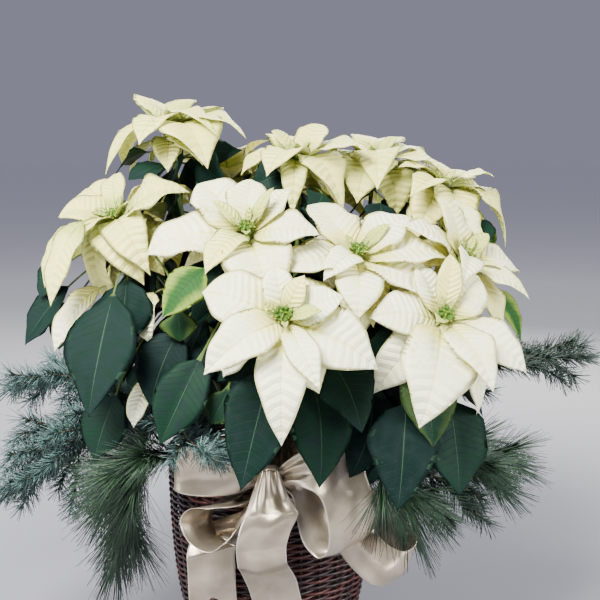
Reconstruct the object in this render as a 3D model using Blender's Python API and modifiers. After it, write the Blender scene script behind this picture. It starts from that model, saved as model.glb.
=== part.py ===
"""Cream poinsettia in a wicker basket, with a satin bow and evergreen sprays.

Metres, +Z up. The origin is the middle of the basket's underside, and the front faces -Y.
Places in the tables are written in millimetres (x, y, z) from that origin.
"""
import math
import random

import bmesh
import bpy
import numpy as np
from mathutils import Matrix, Vector
from mathutils.bvhtree import BVHTree

MM = 0.001
GAP = 0.3 * MM
GOLDEN_ANGLE = math.radians(137.5)

# Basket, liner and soil
BASKET_HEIGHT = 0.268
BASE_RADIUS = 0.112
MOUTH_RADIUS = 0.151
WALL = 0.007
FLOOR = 0.008
STAKES = 15
WEAVE_ROWS = 11
WEAVE_RELIEF = 0.0014
RIM_THICKNESS = 0.0085
LINER_WALL = 0.002
LINER_TOP = 0.262
LINER_SIDES = 18
SOIL_TOP = 0.250
SOIL_HEAP = 0.004
SOIL_CLEARANCE = 0.0013

# Plant
COLLAR_RADIUS = 0.0055
COLLAR_LENGTH = 0.026
STRAIGHT_END = 0.006
BRANCH_RADIUS = 0.0034
BRANCH_POINTS = 6
TRUNK_RADIUS = 0.007
TRUNK_SIDES = 8
TRUNK_TOP = 0.300
STEM_DEPTH = 0.050
HOLE_CLEARANCE = 0.0007
BLADE_HALF_THICKNESS = 0.0007
BLADE_CLEARANCE = 0.0012
BEADS = 3

# Bow
RIBBON_WIDTH = 0.0635
RIBBON_THICKNESS = 0.0008
TAIL_NOTCH = 0.032
GATHER = 0.36
GATHER_STEP = 0.30
SLOW_GATHER_STEP = 0.14
SLOW_GATHERED = ("ribbon_loop_lower_left",)

# Sprays
TWIG_RADIUS = 0.0024
TWIG_DEPTH = 0.016
TWIG_HOLE_SIDES = 5
NEEDLE_RADIUS = 0.0009

# The plants: name, place of the trunk in the soil
PLANTS = {
    "plant_left": (-52, 6),
    "plant_front": (22, -52),
    "plant_back": (38, 52),
}

# Heads: plant, centre of the beads, tilt from upright, compass heading of the tilt (0 = +X, 90 = +Y),
# then the bracts: azimuth (0 = right, 90 = up or back, 270 = down or front), length, width, rise in degrees
HEADS = {
    "head_front_low": ("plant_front", (24, -262, 524), 52, -92, [
        (159, 106, 64, -6), (333, 128, 64, -16), (269, 152, 60, -16), (221, 122, 52, -12),
        (194, 122, 46, -27), (293, 106, 38, 2), (281, 116, 40, -30), (15, 74, 44, 6),
        (100, 66, 34, 4), (52, 54, 26, 16), (345, 56, 16, 32)]),
    "head_front_right": ("plant_front", (220, -215, 516), 46, -70, [
        (258, 148, 76, -16), (332, 122, 50, -8), (293, 122, 50, -10), (185, 92, 54, -8),
        (322, 150, 50, -26), (225, 130, 50, -30), (52, 84, 56, 2), (118, 74, 46, 4),
        (275, 108, 40, -34), (88, 80, 28, 14), (234, 48, 16, 32)]),
    "head_centre": ("plant_front", (117, -165, 590), 34, -75, [
        (204, 108, 58, -8), (322, 120, 60, -14), (269, 106, 62, -10), (3, 120, 60, -6),
        (124, 112, 54, -4), (84, 84, 44, 2), (160, 100, 54, -16), (40, 96, 48, -10),
        (235, 84, 44, -22), (37, 54, 16, 24)]),
    "head_centre_left": ("plant_left", (-24, -165, 619), 34, -100, [
        (186, 134, 64, -10), (286, 116, 70, -14), (128, 110, 64, 2), (348, 94, 52, -4),
        (44, 80, 46, 8), (232, 92, 48, -20), (86, 84, 46, -2), (53, 62, 15, 26),
        (150, 54, 18, 30)]),
    "head_left": ("plant_left", (-204, -90, 630), 34, -130, [
        (285, 112, 54, -38), (5, 106, 60, -6), (205, 122, 44, -24), (122, 92, 50, 8),
        (168, 88, 44, -4), (212, 136, 52, -36), (299, 112, 50, -30), (88, 80, 30, 14),
        (330, 44, 16, 24), (45, 84, 44, -14), (245, 70, 34, 12)]),
    "head_top_left": ("plant_left", (-138, 0, 752), 8, -110, [
        (303, 116, 66, -28), (205, 118, 54, -32), (345, 112, 50, -12), (250, 100, 54, -24),
        (60, 110, 60, -10), (105, 114, 60, -14), (150, 110, 58, -14), (322, 100, 40, -38),
        (15, 66, 44, 24), (160, 56, 28, 26)]),
    "head_top_mid": ("plant_front", (41, -20, 709), 8, -90, [
        (320, 108, 58, -42), (195, 86, 48, -18), (350, 100, 50, 2), (240, 90, 50, -26),
        (264, 100, 36, -34), (60, 106, 58, -8), (96, 110, 60, -12), (132, 106, 56, -8),
        (45, 64, 42, 26), (150, 52, 22, 38), (100, 44, 18, 36)]),
    "head_top_right": ("plant_back", (150, 30, 706), 10, -80, [
        (251, 96, 66, -34), (270, 106, 52, -46), (345, 100, 56, -2), (300, 92, 50, -24),
        (38, 104, 58, -8), (80, 108, 60, -12), (122, 104, 56, -10), (190, 66, 40, 14),
        (160, 88, 48, -8), (30, 48, 20, 30)]),
    "head_right_high": ("plant_back", (248, 0, 671), 22, -30, [
        (335, 128, 62, -24), (285, 108, 50, -34), (235, 94, 38, -18), (250, 108, 50, -36),
        (25, 106, 60, -14), (75, 108, 60, -12), (125, 104, 58, -10), (165, 96, 50, -12),
        (345, 70, 42, 26), (195, 76, 38, -4)]),
    "head_right": ("plant_front", (261, -120, 580), 38, -40, [
        (330, 100, 48, 2), (95, 106, 60, 12), (322, 126, 52, -12), (187, 104, 50, -6),
        (264, 116, 46, -16), (130, 88, 50, 6), (20, 108, 54, -10), (60, 102, 50, -6),
        (255, 96, 34, -30), (290, 108, 44, -30), (55, 50, 20, 28)]),
}

# Heads on the side away from the front, whose bracts follow the spiral of the leaves
BACK_HEADS = {
    "head_back_left": ("plant_left", (-225, 75, 590), 46, 158),
    "head_back_left_low": ("plant_left", (-128, 205, 548), 52, 122),
    "head_back_low": ("plant_back", (24, 250, 528), 56, 90),
    "head_back_right_low": ("plant_back", (170, 195, 552), 50, 55),
    "head_back_right": ("plant_back", (272, 100, 590), 46, 14),
    "head_back_top_left": ("plant_left", (-70, 118, 690), 20, 112),
    "head_back_top": ("plant_back", (80, 150, 662), 24, 75),
}
SPIRAL_BRACTS = 8

# Leaves: the head whose branch carries it, base of the blade, tip, width
LEAVES = [
    ("head_left", (-183, -188, 524), (-217, -222, 389), 88),
    ("head_left", (-180, -150, 570), (-206, -192, 497), 70),
    ("head_centre_left", (-112, -172, 488), (-144, -200, 396), 60),
    ("head_left", (-185, -150, 405), (-224, -170, 315), 60),
    ("head_centre_left", (-75, -200, 450), (-127, -222, 349), 56),
    ("head_centre_left", (-30, -218, 437), (-69, -230, 387), 38),
    ("head_front_low", (5, -236, 423), (-12, -262, 305), 72),
    ("head_front_low", (71, -218, 413), (67, -250, 308), 64),
    ("head_front_low", (93, -212, 452), (118, -250, 377), 56),
    ("head_centre", (150, -196, 418), (109, -235, 318), 68),
    ("head_centre", (144, -180, 372), (120, -212, 294), 48),
    ("head_front_right", (164, -222, 392), (161, -262, 283), 74),
    ("head_front_right", (187, -200, 437), (206, -238, 355), 66),
    ("head_right", (238, -198, 410), (269, -232, 298), 76),
    ("head_centre_left", (-73, -200, 571), (-124, -218, 513), 44),
    ("head_left", (-95, -180, 530), (-107, -194, 478), 40),
    ("head_right_high", (315, -30, 628), (339, -34, 568), 36),
    ("head_right", (303, -120, 540), (350, -124, 476), 34),
    ("head_left", (-272, -48, 560), (-316, -60, 512), 46),
    ("head_left", (-268, -66, 514), (-306, -80, 450), 54),
    ("head_left", (-250, -100, 500), (-292, -122, 412), 50),
    ("head_top_left", (-140, -30, 690), (-190, -56, 674), 46),
    ("head_top_left", (-93, 0, 704), (-36, 10, 706), 52),
    ("head_top_mid", (23, -56, 684), (-20, -66, 668), 42),
    ("head_top_mid", (84, -66, 656), (52, -96, 630), 46),
    ("head_top_right", (168, -40, 650), (188, -70, 612), 44),
    ("head_right_high", (272, -44, 622), (298, -66, 590), 42),
]

# Leaves on the sides and the back hang in two rows: height of the blade's base, radius, drop, length
LEAF_ROWS = [
    (0.500, 0.215, 0.055, 0.105),
    (0.415, 0.190, 0.045, 0.105),
]
LEAVES_IN_ROW = 7
LEAF_ARC = (math.radians(-20), math.radians(205))
LEAVES_UNDER_HEAD = 2

# Bow: each strip's lower or left edge as (x, y, z) with the direction its width takes from there (x, y, z)
KNOT_CENTRE = (6, -172.6, 284)
KNOT_SIZE = (24, 20, 52)
BOW = {
    "ribbon_loop_upper_left": [
        ((-6.5, -178, 286), (0, 0, 1)), ((-36, -192, 279), (0.05, 0, 1)), ((-72, -206, 280), (0.05, 0, 1)),
        ((-104, -208, 284), (0.05, 0, 1)), ((-118, -194, 286), (0.05, 0, 1)), ((-104, -178, 286), (0.05, 0.05, 1)),
        ((-56, -172, 284), (0.05, 0, 1)), ((-6.5, -172, 286), (0, 0, 1))],
    "ribbon_loop_lower_left": [
        ((-6.5, -184, 272), (0, 1, 0)), ((-34, -204, 266), (0.1, 1, 0)), ((-66, -222, 270), (0.55, 0.8, 0)),
        ((-96, -212, 266), (0.55, 0.8, -0.1)), ((-110, -204, 246), (0.55, 0.8, -0.2)),
        ((-98, -212, 222), (0.55, 0.8, -0.22)), ((-72, -226, 214), (0.55, 0.8, -0.2)),
        ((-50, -226, 228), (0.50, 0.8, -0.05)), ((-34, -212, 246), (0.1, 1, 0)),
        ((-6.5, -184, 264), (0, 1, 0))],
    "ribbon_tail_left": [
        ((-7, -166, 257.2), (1, 0, 0)), ((-26, -155.6, 243), (1, 0, -0.1)), ((-74, -152, 224), (1, -0.07, -0.1)),
        ((-98, -154, 206), (1, -0.05, 0)), ((-106, -160, 188), (1, 0, 0.05)), ((-106, -166, 158), (1, 0.05, 0)),
        ((-105, -168, 128), (1, 0.1, 0)), ((-103, -168, 94), (1, 0.15, 0))],
    "ribbon_tail_middle": [
        ((-8, -183.5, 306), (1, 0, 0)), ((-17, -200, 284), (1, 0, 0)), ((-25, -213, 262), (1, 0.03, 0.04)),
        ((-33, -220, 240), (1, 0.06, 0.06)), ((-37, -222, 220), (1, 0.06, 0.03)), ((-37, -214, 202), (1, 0.05, 0)),
        ((-34, -193, 174), (0.95, 0.1, 0)), ((-24, -178, 140), (0.9, 0.15, 0)), ((-16, -170, 104), (0.95, 0.1, 0)),
        ((-12, -168, 76), (0.98, 0, 0))],
    "ribbon_loop_middle": [
        ((18.5, -181, 288), (0, 0, 1)), ((44, -208, 294), (0.5, 0, 0.7)), ((68, -228, 288), (0.88, 0.2, 0.35)),
        ((78, -238, 256), (0.86, 0.25, 0.38)), ((78, -234, 222), (0.86, 0.25, 0.40)),
        ((66, -220, 204), (0.86, 0.25, 0.40)), ((48, -208, 218), (0.86, 0.25, 0.38)),
        ((39, -198, 246), (0.86, 0.25, 0.35)), ((34, -188, 272), (0.7, 0.1, 0.6)), ((18.5, -177, 284), (0, 0, 1))],
    "ribbon_loop_right": [
        ((18.5, -172, 262), (0, 0, 1)), ((50, -168, 240), (0.5, 0, 0.8)), ((84, -169, 204), (0.60, -0.1, 0.66)),
        ((112, -187, 174), (0.52, -0.3, 0.68)), ((140, -212, 163), (0.42, -0.35, 0.72)),
        ((166, -212, 170), (0.26, -0.35, 0.78)), ((174, -198, 184), (0.15, -0.3, 0.8)),
        ((148, -174, 196), (0.2, -0.1, 0.85)), ((106, -158, 222), (0.25, 0, 0.85)),
        ((60, -158, 250), (0.3, 0, 0.85)), ((18.5, -165, 264), (0, 0, 1))],
}

# Sprays: where the first twig crosses the rim (degrees), the twigs' points outside it, needle length,
# needles a twig and their spread from the twig in degrees
SPRAYS = {
    "spruce_left_upper": (213, [
        [(-200, -104, 388), (-262, -118, 416), (-340, -130, 404)]], 24, 16, 52),
    "spruce_left_middle": (203, [
        [(-208, -88, 338), (-264, -108, 350), (-336, -122, 336)],
        [(-214, -91, 339), (-250, -108, 332), (-300, -126, 318), (-340, -134, 312)],
        [(-228, -96, 342), (-262, -109, 306), (-330, -124, 262), (-356, -130, 252)]], 24, 10, 52),
    "pine_left_low": (218, [
        [(-160, -126, 306), (-186, -140, 262), (-198, -144, 210), (-204, -146, 170)]], 78, 20, 30),
    "spruce_over_loop": (235, [
        [(-104, -168, 358), (-96, -214, 359), (-56, -248, 338)]], 22, 15, 52),
    "fir_right": (339, [
        [(220, -80, 392), (310, -96, 436), (430, -104, 438)]], 26, 18, 44),
    "pine_right": (329, [
        [(204, -112, 316), (262, -126, 316), (330, -130, 298)],
        [(212, -114, 316), (270, -128, 292), (312, -134, 268)]], 62, 9, 24),
    "fir_right_low": (316, [
        [(180, -146, 300), (232, -166, 286), (266, -178, 248)]], 24, 15, 44),
    "pine_front_right": (308, [
        [(146, -186, 318), (172, -214, 292), (180, -222, 264)]], 84, 20, 32),
    "pine_back_left": (137, [
        [(-176, 152, 304), (-224, 196, 262), (-250, 220, 214)]], 70, 17, 32),
    "spruce_back_left": (165, [
        [(-214, 60, 360), (-280, 80, 378), (-344, 92, 364)]], 24, 16, 52),
    "fir_back_right": (35, [
        [(196, 140, 350), (262, 184, 372), (330, 226, 362)]], 26, 17, 44),
}
# Each first twig starts in the soil, climbs inside the rim and crosses over it: radius and height
OVER_RIM = [(108, 236), (124, 292), (164, 302)]

# Colours and finishes: colour, roughness
FINISHES = {
    "cream_bract": ((0.86, 0.83, 0.62), 0.55),
    "bead_green": ((0.42, 0.52, 0.10), 0.50),
    "leaf_green": ((0.035, 0.10, 0.055), 0.45),
    "wicker_brown": ((0.055, 0.018, 0.012), 0.42),
    "liner_plastic": ((0.03, 0.03, 0.03), 0.50),
    "soil_brown": ((0.05, 0.032, 0.02), 0.95),
    "satin_champagne": ((0.66, 0.58, 0.47), 0.30),
    "needle_blue_green": ((0.09, 0.17, 0.14), 0.60),
    "needle_green": ((0.035, 0.12, 0.06), 0.55),
}


def clear_scene():
    """Remove every object that the new file starts with."""
    for item in list(bpy.data.objects):
        bpy.data.objects.remove(item)


def finish_of(name):
    """Make the named material the first time it is asked for."""
    found = bpy.data.materials.get(name)
    if found:
        return found
    colour, roughness = FINISHES[name]
    material = bpy.data.materials.new(name)
    material.use_nodes = True
    shader = material.node_tree.nodes["Principled BSDF"]
    shader.inputs["Base Color"].default_value = (*colour, 1.0)
    shader.inputs["Roughness"].default_value = roughness
    material.diffuse_color = (*colour, 1.0)
    return material


def new_collection(name):
    """A collection linked to the scene."""
    collection = bpy.data.collections.new(name)
    bpy.context.scene.collection.children.link(collection)
    return collection


def add_object(name, mesh, collection, finish=None):
    """Put a mesh in an object of its own."""
    item = bpy.data.objects.new(name, mesh)
    collection.objects.link(item)
    if finish:
        mesh.materials.clear()
        mesh.materials.append(finish_of(finish))
    return item


def mesh_from(vertices, faces, name="piece"):
    """A mesh from points and faces, with the faces turned outwards."""
    mesh = bpy.data.meshes.new(name)
    mesh.from_pydata([tuple(v) for v in vertices], [], faces)
    work = bmesh.new()
    work.from_mesh(mesh)
    bmesh.ops.recalc_face_normals(work, faces=work.faces)
    work.to_mesh(mesh)
    work.free()
    return mesh


def evaluated_mesh(item):
    """The object's mesh with its modifiers applied, in world space and with doubles merged."""
    graph = bpy.context.evaluated_depsgraph_get()
    mesh = bpy.data.meshes.new_from_object(item.evaluated_get(graph))
    mesh.transform(item.matrix_world)
    work = bmesh.new()
    work.from_mesh(mesh)
    bmesh.ops.remove_doubles(work, verts=work.verts, dist=1e-6)
    bmesh.ops.recalc_face_normals(work, faces=work.faces)
    work.to_mesh(mesh)
    work.free()
    return mesh


def fuse(name, meshes, collection, finish):
    """Join closed meshes into one solid with one Boolean union on a collection."""
    pieces = new_collection(name + "_pieces")
    base = add_object(name, meshes[0], collection, finish)
    for mesh in meshes[1:]:
        add_object(name + "_piece", mesh, pieces)
    union = base.modifiers.new("Join", "BOOLEAN")
    union.operation = "UNION"
    union.operand_type = "COLLECTION"
    union.collection = pieces
    union.solver = "MANIFOLD"
    joined = largest_island(evaluated_mesh(base))
    base.modifiers.clear()
    base.data = joined
    joined.materials.clear()
    joined.materials.append(finish_of(finish))
    for item in list(pieces.objects):
        bpy.data.objects.remove(item)
    bpy.data.collections.remove(pieces)
    return base


def largest_island(mesh):
    """Drop loose scraps: keep the connected piece with the most points."""
    work = bmesh.new()
    work.from_mesh(mesh)
    seen = set()
    best = []
    for start in work.verts:
        if start in seen:
            continue
        island = []
        waiting = [start]
        seen.add(start)
        while waiting:
            vertex = waiting.pop()
            island.append(vertex)
            for edge in vertex.link_edges:
                other = edge.other_vert(vertex)
                if other not in seen:
                    seen.add(other)
                    waiting.append(other)
        if len(island) > len(best):
            best = island
    keep = set(best)
    bmesh.ops.delete(work, geom=[v for v in work.verts if v not in keep], context="VERTS")
    bmesh.ops.triangulate(work, faces=work.faces)
    work.to_mesh(mesh)
    work.free()
    return mesh


def bezier(points, count):
    """Points along a Bezier curve with any number of control points."""
    t = np.linspace(0, 1, count)[:, None, None]
    level = np.repeat(np.array(points, float)[None], count, axis=0)
    while level.shape[1] > 1:
        level = level[:, :-1] * (1 - t) + level[:, 1:] * t
    return level[:, 0]


def smooth_path(points, count):
    """Points along a smooth curve through the given rows (Catmull-Rom), evenly spaced in its parameter."""
    rows = np.array(points, float)
    rows = np.vstack([2 * rows[0] - rows[1], rows, 2 * rows[-1] - rows[-2]])
    spans = len(rows) - 3
    u = np.linspace(0, spans, count)
    i = np.minimum(u.astype(int), spans - 1)
    f = (u - i)[:, None]
    a, b, c, d = rows[i], rows[i + 1], rows[i + 2], rows[i + 3]
    return 0.5 * (2 * b + (c - a) * f + (2 * a - 5 * b + 4 * c - d) * f ** 2 + (3 * b - a - 3 * c + d) * f ** 3)


def tube(points, radii, resolution=1):
    """A round tube along points: a curve with a bevel and filled caps, made a mesh."""
    curve = bpy.data.curves.new("tube", "CURVE")
    curve.dimensions = "3D"
    curve.bevel_depth = 1.0
    curve.bevel_resolution = resolution
    curve.use_fill_caps = True
    spline = curve.splines.new("POLY")
    spline.points.add(len(points) - 1)
    for place, point, radius in zip(spline.points, points, radii):
        place.co = (*point, 1.0)
        place.radius = radius
    item = bpy.data.objects.new("tube", curve)
    bpy.context.scene.collection.objects.link(item)
    bpy.context.view_layer.update()
    mesh = evaluated_mesh(item)
    bpy.data.objects.remove(item)
    return mesh


def cone(base, direction, length, radius_low, radius_high, sides):
    """A cone or a tapered peg that starts at base and runs along direction."""
    work = bmesh.new()
    bmesh.ops.create_cone(work, cap_ends=True, segments=sides, radius1=radius_low, radius2=radius_high,
                          depth=length)
    turn = Vector(direction).to_track_quat("Z", "Y").to_matrix().to_4x4()
    middle = Vector(base) + Vector(direction) * (length / 2)
    bmesh.ops.transform(work, matrix=Matrix.Translation(middle) @ turn, verts=work.verts)
    mesh = bpy.data.meshes.new("peg")
    work.to_mesh(mesh)
    work.free()
    return mesh


def turned(profile, steps, name):
    """A turned shape: a profile of (radius, height) run round the Z axis by a Screw modifier."""
    mesh = bpy.data.meshes.new(name)
    edges = [(i, i + 1) for i in range(len(profile) - 1)]
    mesh.from_pydata([(radius, 0, height) for radius, height in profile], edges, [])
    item = bpy.data.objects.new(name, mesh)
    bpy.context.scene.collection.objects.link(item)
    screw = item.modifiers.new("Turn", "SCREW")
    screw.steps = steps
    screw.render_steps = steps
    screw.use_merge_vertices = True
    screw.merge_threshold = 0.00005
    bpy.context.view_layer.update()
    solid = evaluated_mesh(item)
    bpy.data.objects.remove(item)
    return solid


# Basket

def basket_radius(height):
    """Outer radius of the wall: it swells fast above the base, then opens slowly to the mouth."""
    share = max(height, 0) / BASKET_HEIGHT
    return BASE_RADIUS + (MOUTH_RADIUS - BASE_RADIUS) * math.sin(math.pi / 2 * share ** 0.6)


def build_basket_wall(collection):
    """The woven wall: a turned cup whose outside steps in and out where rods pass over and under stakes."""
    outside = [(0, 0)]
    for row in range(WEAVE_ROWS + 1):
        height = BASKET_HEIGHT * row / WEAVE_ROWS
        outside.append((basket_radius(height), height))
    inside = []
    for share in (1.0, 0.5, 0.2):
        height = FLOOR + (BASKET_HEIGHT - FLOOR) * share
        inside.append((basket_radius(height) - WALL, height if share < 1 else BASKET_HEIGHT))
    inside.append((basket_radius(FLOOR) - WALL - 0.004, FLOOR))
    inside.append((0, FLOOR))
    mesh = turned((outside + inside)[::-1], 2 * STAKES, "basket_wall")
    row_height = BASKET_HEIGHT / WEAVE_ROWS
    for vertex in mesh.vertices:
        radius = math.hypot(vertex.co.x, vertex.co.y)
        on_wall = row_height * 0.5 < vertex.co.z < BASKET_HEIGHT - row_height * 0.5
        if on_wall and abs(radius - basket_radius(vertex.co.z)) < 0.001:
            stake = round(math.atan2(vertex.co.y, vertex.co.x) / math.pi * STAKES)
            row = round(vertex.co.z / row_height)
            step = WEAVE_RELIEF if (stake + row) % 2 == 0 else -WEAVE_RELIEF
            vertex.co.x *= (radius + step) / radius
            vertex.co.y *= (radius + step) / radius
    add_object("basket_wall", mesh, collection, "wicker_brown")


def build_basket_rim(collection):
    """The plaited border that sits on the wall: a ring whose thickness winds round it."""
    strands = 16
    work = bmesh.new()
    mesh = bpy.data.meshes.new("basket_rim")
    bpy.ops.mesh.primitive_torus_add(major_segments=32, minor_segments=5, major_radius=MOUTH_RADIUS - WALL / 2,
                                     minor_radius=RIM_THICKNESS)
    ring = bpy.context.object
    work.from_mesh(ring.data)
    centre_radius = MOUTH_RADIUS - WALL / 2
    for vertex in work.verts:
        around = math.atan2(vertex.co.y, vertex.co.x)
        out = math.hypot(vertex.co.x, vertex.co.y) - centre_radius
        across = math.atan2(vertex.co.z, out)
        scale = 1 + 0.12 * math.cos(strands * around + across)
        radius = centre_radius + out * scale
        vertex.co = (radius * math.cos(around), radius * math.sin(around), vertex.co.z * scale)
    lowest = min(vertex.co.z for vertex in work.verts)
    bmesh.ops.translate(work, verts=work.verts, vec=(0, 0, BASKET_HEIGHT + GAP - lowest))
    work.to_mesh(mesh)
    work.free()
    bpy.data.objects.remove(ring)
    add_object("basket_rim", mesh, collection, "wicker_brown")


def liner_radius(height):
    """Outer radius of the liner pot, which follows the basket inside."""
    return basket_radius(height) - WALL - 0.005


def liner_profile():
    """Outside of the liner, from the middle of its floor to its mouth, as (radius, height)."""
    foot = liner_radius(FLOOR) - 0.006
    rows = [(0, FLOOR + GAP), (foot, FLOOR + GAP)]
    for height, taper in ((0.09, 0.004), (0.18, 0.002), (LINER_TOP, 0)):
        rows.append((liner_radius(height) - taper, height))
    return rows


def build_liner(collection):
    """The plain pot inside the basket, standing on the basket's floor."""
    outside = liner_profile()
    inside = [(radius - LINER_WALL, height) for radius, height in outside[:0:-1]]
    floor = outside[0][1] + LINER_WALL
    inside[-1] = (inside[-1][0], floor)
    inside.append((0, floor))
    mesh = turned((outside + inside)[::-1], LINER_SIDES, "liner_pot")
    add_object("liner_pot", mesh, collection, "liner_plastic")


def build_soil(collection, holes):
    """Potting mix from the liner's floor to near its mouth, with a plain hole for each stem."""
    outside = liner_profile()
    floor = outside[0][1] + LINER_WALL + GAP
    profile = [(0, floor)]
    for radius, height in outside[1:]:
        profile.append((radius - LINER_WALL - SOIL_CLEARANCE, max(floor, min(height, SOIL_TOP))))
    profile.append((0, SOIL_TOP + SOIL_HEAP))
    soil = add_object("soil", turned(profile[::-1], LINER_SIDES, "soil"), collection, "soil_brown")
    cutters = new_collection("soil_cutters")
    for place, direction, radius, depth, sides in holes:
        start = Vector(place) - Vector(direction) * 0.0006
        add_object("hole", cone(start, direction, depth + 0.03, radius, radius, sides), cutters)
    cut = soil.modifiers.new("Holes", "BOOLEAN")
    cut.operation = "DIFFERENCE"
    cut.operand_type = "COLLECTION"
    cut.collection = cutters
    cut.solver = "MANIFOLD"
    mesh = evaluated_mesh(soil)
    soil.modifiers.clear()
    soil.data = mesh
    mesh.materials.clear()
    mesh.materials.append(finish_of("soil_brown"))
    for item in list(cutters.objects):
        bpy.data.objects.remove(item)
    bpy.data.collections.remove(cutters)


# Blades: bracts and leaves

def outline(share, petiole):
    """Width of a blade, 0 to 1, at a share of its length: a thin stalk, then ovate with a drawn-out tip."""
    u = max(0.0, (share - petiole) / (1 - petiole))
    return 2.16 * u ** 0.50 * (1 - u) ** 0.62


def blade_points(spine, facing, width, petiole, shares, cup, wave, stalk):
    """Closed blade: at each share of the length a left edge, an upper middle, a right edge and a lower middle.

    The spine is a Bezier curve. The middle points lie half a thickness above and below it, and the edges
    are raised by cup times their distance and by a wave that runs the other way on the other side.
    """
    points = []
    spots = len(shares)
    for i, share in enumerate(shares):
        here = Vector(bezier_at(spine, share))
        ahead = Vector(bezier_at(spine, min(1, share + 0.02)))
        behind = Vector(bezier_at(spine, max(0, share - 0.02)))
        along = (ahead - behind).normalized()
        side = along.cross(facing).normalized()
        up = side.cross(along)
        half = max(width / 2 * outline(share, petiole), stalk)
        thick = BLADE_HALF_THICKNESS if share > petiole else stalk * 0.75
        if i == spots - 1:
            points.append(here)
            continue
        ripple = wave * half if i % 2 else -wave * half
        points.append(here - side * half + up * (cup * half + ripple))
        points.append(here + up * thick)
        points.append(here + side * half + up * (cup * half - ripple))
        points.append(here - up * thick)
    return np.array([tuple(p) for p in points])


def bezier_at(points, t):
    """One point on a Bezier curve."""
    level = [Vector(p) for p in points]
    while len(level) > 1:
        level = [a.lerp(b, t) for a, b in zip(level, level[1:])]
    return level[0]


def blade_faces(stations):
    """Triangles of a blade, split alike on both faces so that they never cross."""
    faces = []
    for i in range(stations - 2):
        a = 4 * i
        b = a + 4
        for k, across in ((0, 1), (2, 1), (2, 3), (0, 3)):
            edge, middle, edge_next, middle_next = a + k, a + across, b + k, b + across
            faces.append((edge, middle, edge_next))
            faces.append((middle, middle_next, edge_next))
    a = 4 * (stations - 2)
    tip = a + 4
    for k in range(4):
        faces.append((a + k, a + (k + 1) % 4, tip))
    faces.append((0, 1, 3))
    faces.append((1, 2, 3))
    return faces


def box_of(points):
    """Lowest and highest corners of some points."""
    rows = np.array(points)
    return rows.min(axis=0), rows.max(axis=0)


class Crowd:
    """Everything already in place, to keep new blades clear of it."""

    def __init__(self):
        self.items = []

    def add(self, owner, points, faces):
        """Remember a closed surface under its owner's name."""
        low, high = box_of(points)
        rows = [tuple(p) for p in points]
        self.items.append((owner, low, high, BVHTree.FromPolygons(rows, faces)))

    def add_mesh(self, owner, mesh):
        """Remember a mesh."""
        self.add(owner, [v.co for v in mesh.vertices], [tuple(p.vertices) for p in mesh.polygons])

    def touches(self, owner, points, faces, near_points, near_faces):
        """True if the surface meets another owner's, or its outer part meets its own owner's."""
        low, high = box_of(points)
        whole = BVHTree.FromPolygons([tuple(p) for p in points], faces)
        outer = BVHTree.FromPolygons([tuple(p) for p in near_points], near_faces)
        for name, other_low, other_high, tree in self.items:
            if np.any(other_low > high) or np.any(other_high < low):
                continue
            other, colon, extent = name.partition(":")
            if other != owner:
                hit = whole.overlap(tree)
            elif extent == "outer":
                hit = whole.overlap(tree)
            else:
                hit = extent == "whole" and outer.overlap(tree)
            if hit:
                return True
        return False


def tried_turns():
    """Small changes to a blade's direction and size, the least first, as (yaw, lift, size)."""
    changes = []
    for yaw in (0, 5, -5, 10, -10, 16, -16, 24, -24):
        for lift in (0, 4, -4, 8, -8, 14, -14, 22, -22, 32, -32):
            for size in (1.0, 0.9, 0.8, 0.68):
                cost = abs(yaw) / 6 + abs(lift) / 5 + (1 - size) * 14
                changes.append((cost, yaw, lift, size))
    return [change[1:] for change in sorted(changes)]


def settle(crowd, owner, blade, facing, outer_from):
    """Turn and shrink a blade about its root until it is clear; None if no change clears it.

    blade holds the points, the swollen points that keep the clearance, and the faces.
    """
    points, swollen, faces = blade
    root = Vector(points[:4].mean(axis=0))
    tip = Vector(points[-1])
    along = (tip - root).normalized()
    side = along.cross(facing).normalized()
    up = side.cross(along)
    outer_faces = blade_faces((len(points) - 1) // 4 + 1 - outer_from)
    for yaw, lift, size in TURNS:
        turn = Matrix.Rotation(math.radians(yaw), 4, up) @ Matrix.Rotation(math.radians(lift), 4, side)
        change = Matrix.Translation(root) @ turn @ Matrix.Scale(size, 4) @ Matrix.Translation(-root)
        moved = transformed(swollen, change)
        if not crowd.touches(owner, moved, faces, moved[4 * outer_from:], outer_faces):
            placed = transformed(points, change)
            crowd.add(owner + ":whole", placed, faces)
            crowd.add(owner + ":outer", placed[4 * outer_from:], outer_faces)
            return placed
    return None


def transformed(points, matrix):
    """Points moved by a 4 x 4 matrix."""
    turn = np.array(matrix.to_3x3())
    return points @ turn.T + np.array(matrix.translation)


def make_blade(spine, facing, width, petiole, shares, cup, wave, stalk):
    """A blade, its swollen twin and its faces."""
    args = (petiole, shares, cup, wave)
    points = blade_points(spine, facing, width, *args, stalk)
    swollen = blade_points(spine, facing, width + 2 * BLADE_CLEARANCE, *args, stalk + BLADE_CLEARANCE / 2)
    lift = np.zeros_like(swollen)
    for i in range((len(points) - 1) // 4):
        above = points[4 * i + 1] - points[4 * i + 3]
        above = above / np.linalg.norm(above) * BLADE_CLEARANCE
        lift[4 * i + 1] = above
        lift[4 * i + 3] = -above
    return points, swollen + lift, blade_faces(len(shares))


BRACT_STALK = 0.10
LARGE_SHARES = (0.0, BRACT_STALK, 0.28, 0.55, 0.82, 1.0)
MIDDLE_SHARES = (0.0, BRACT_STALK, 0.36, 0.74, 1.0)
SMALL_SHARES = (0.0, 0.34, 0.72, 1.0)
TURNS = tried_turns()


# Heads

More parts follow.
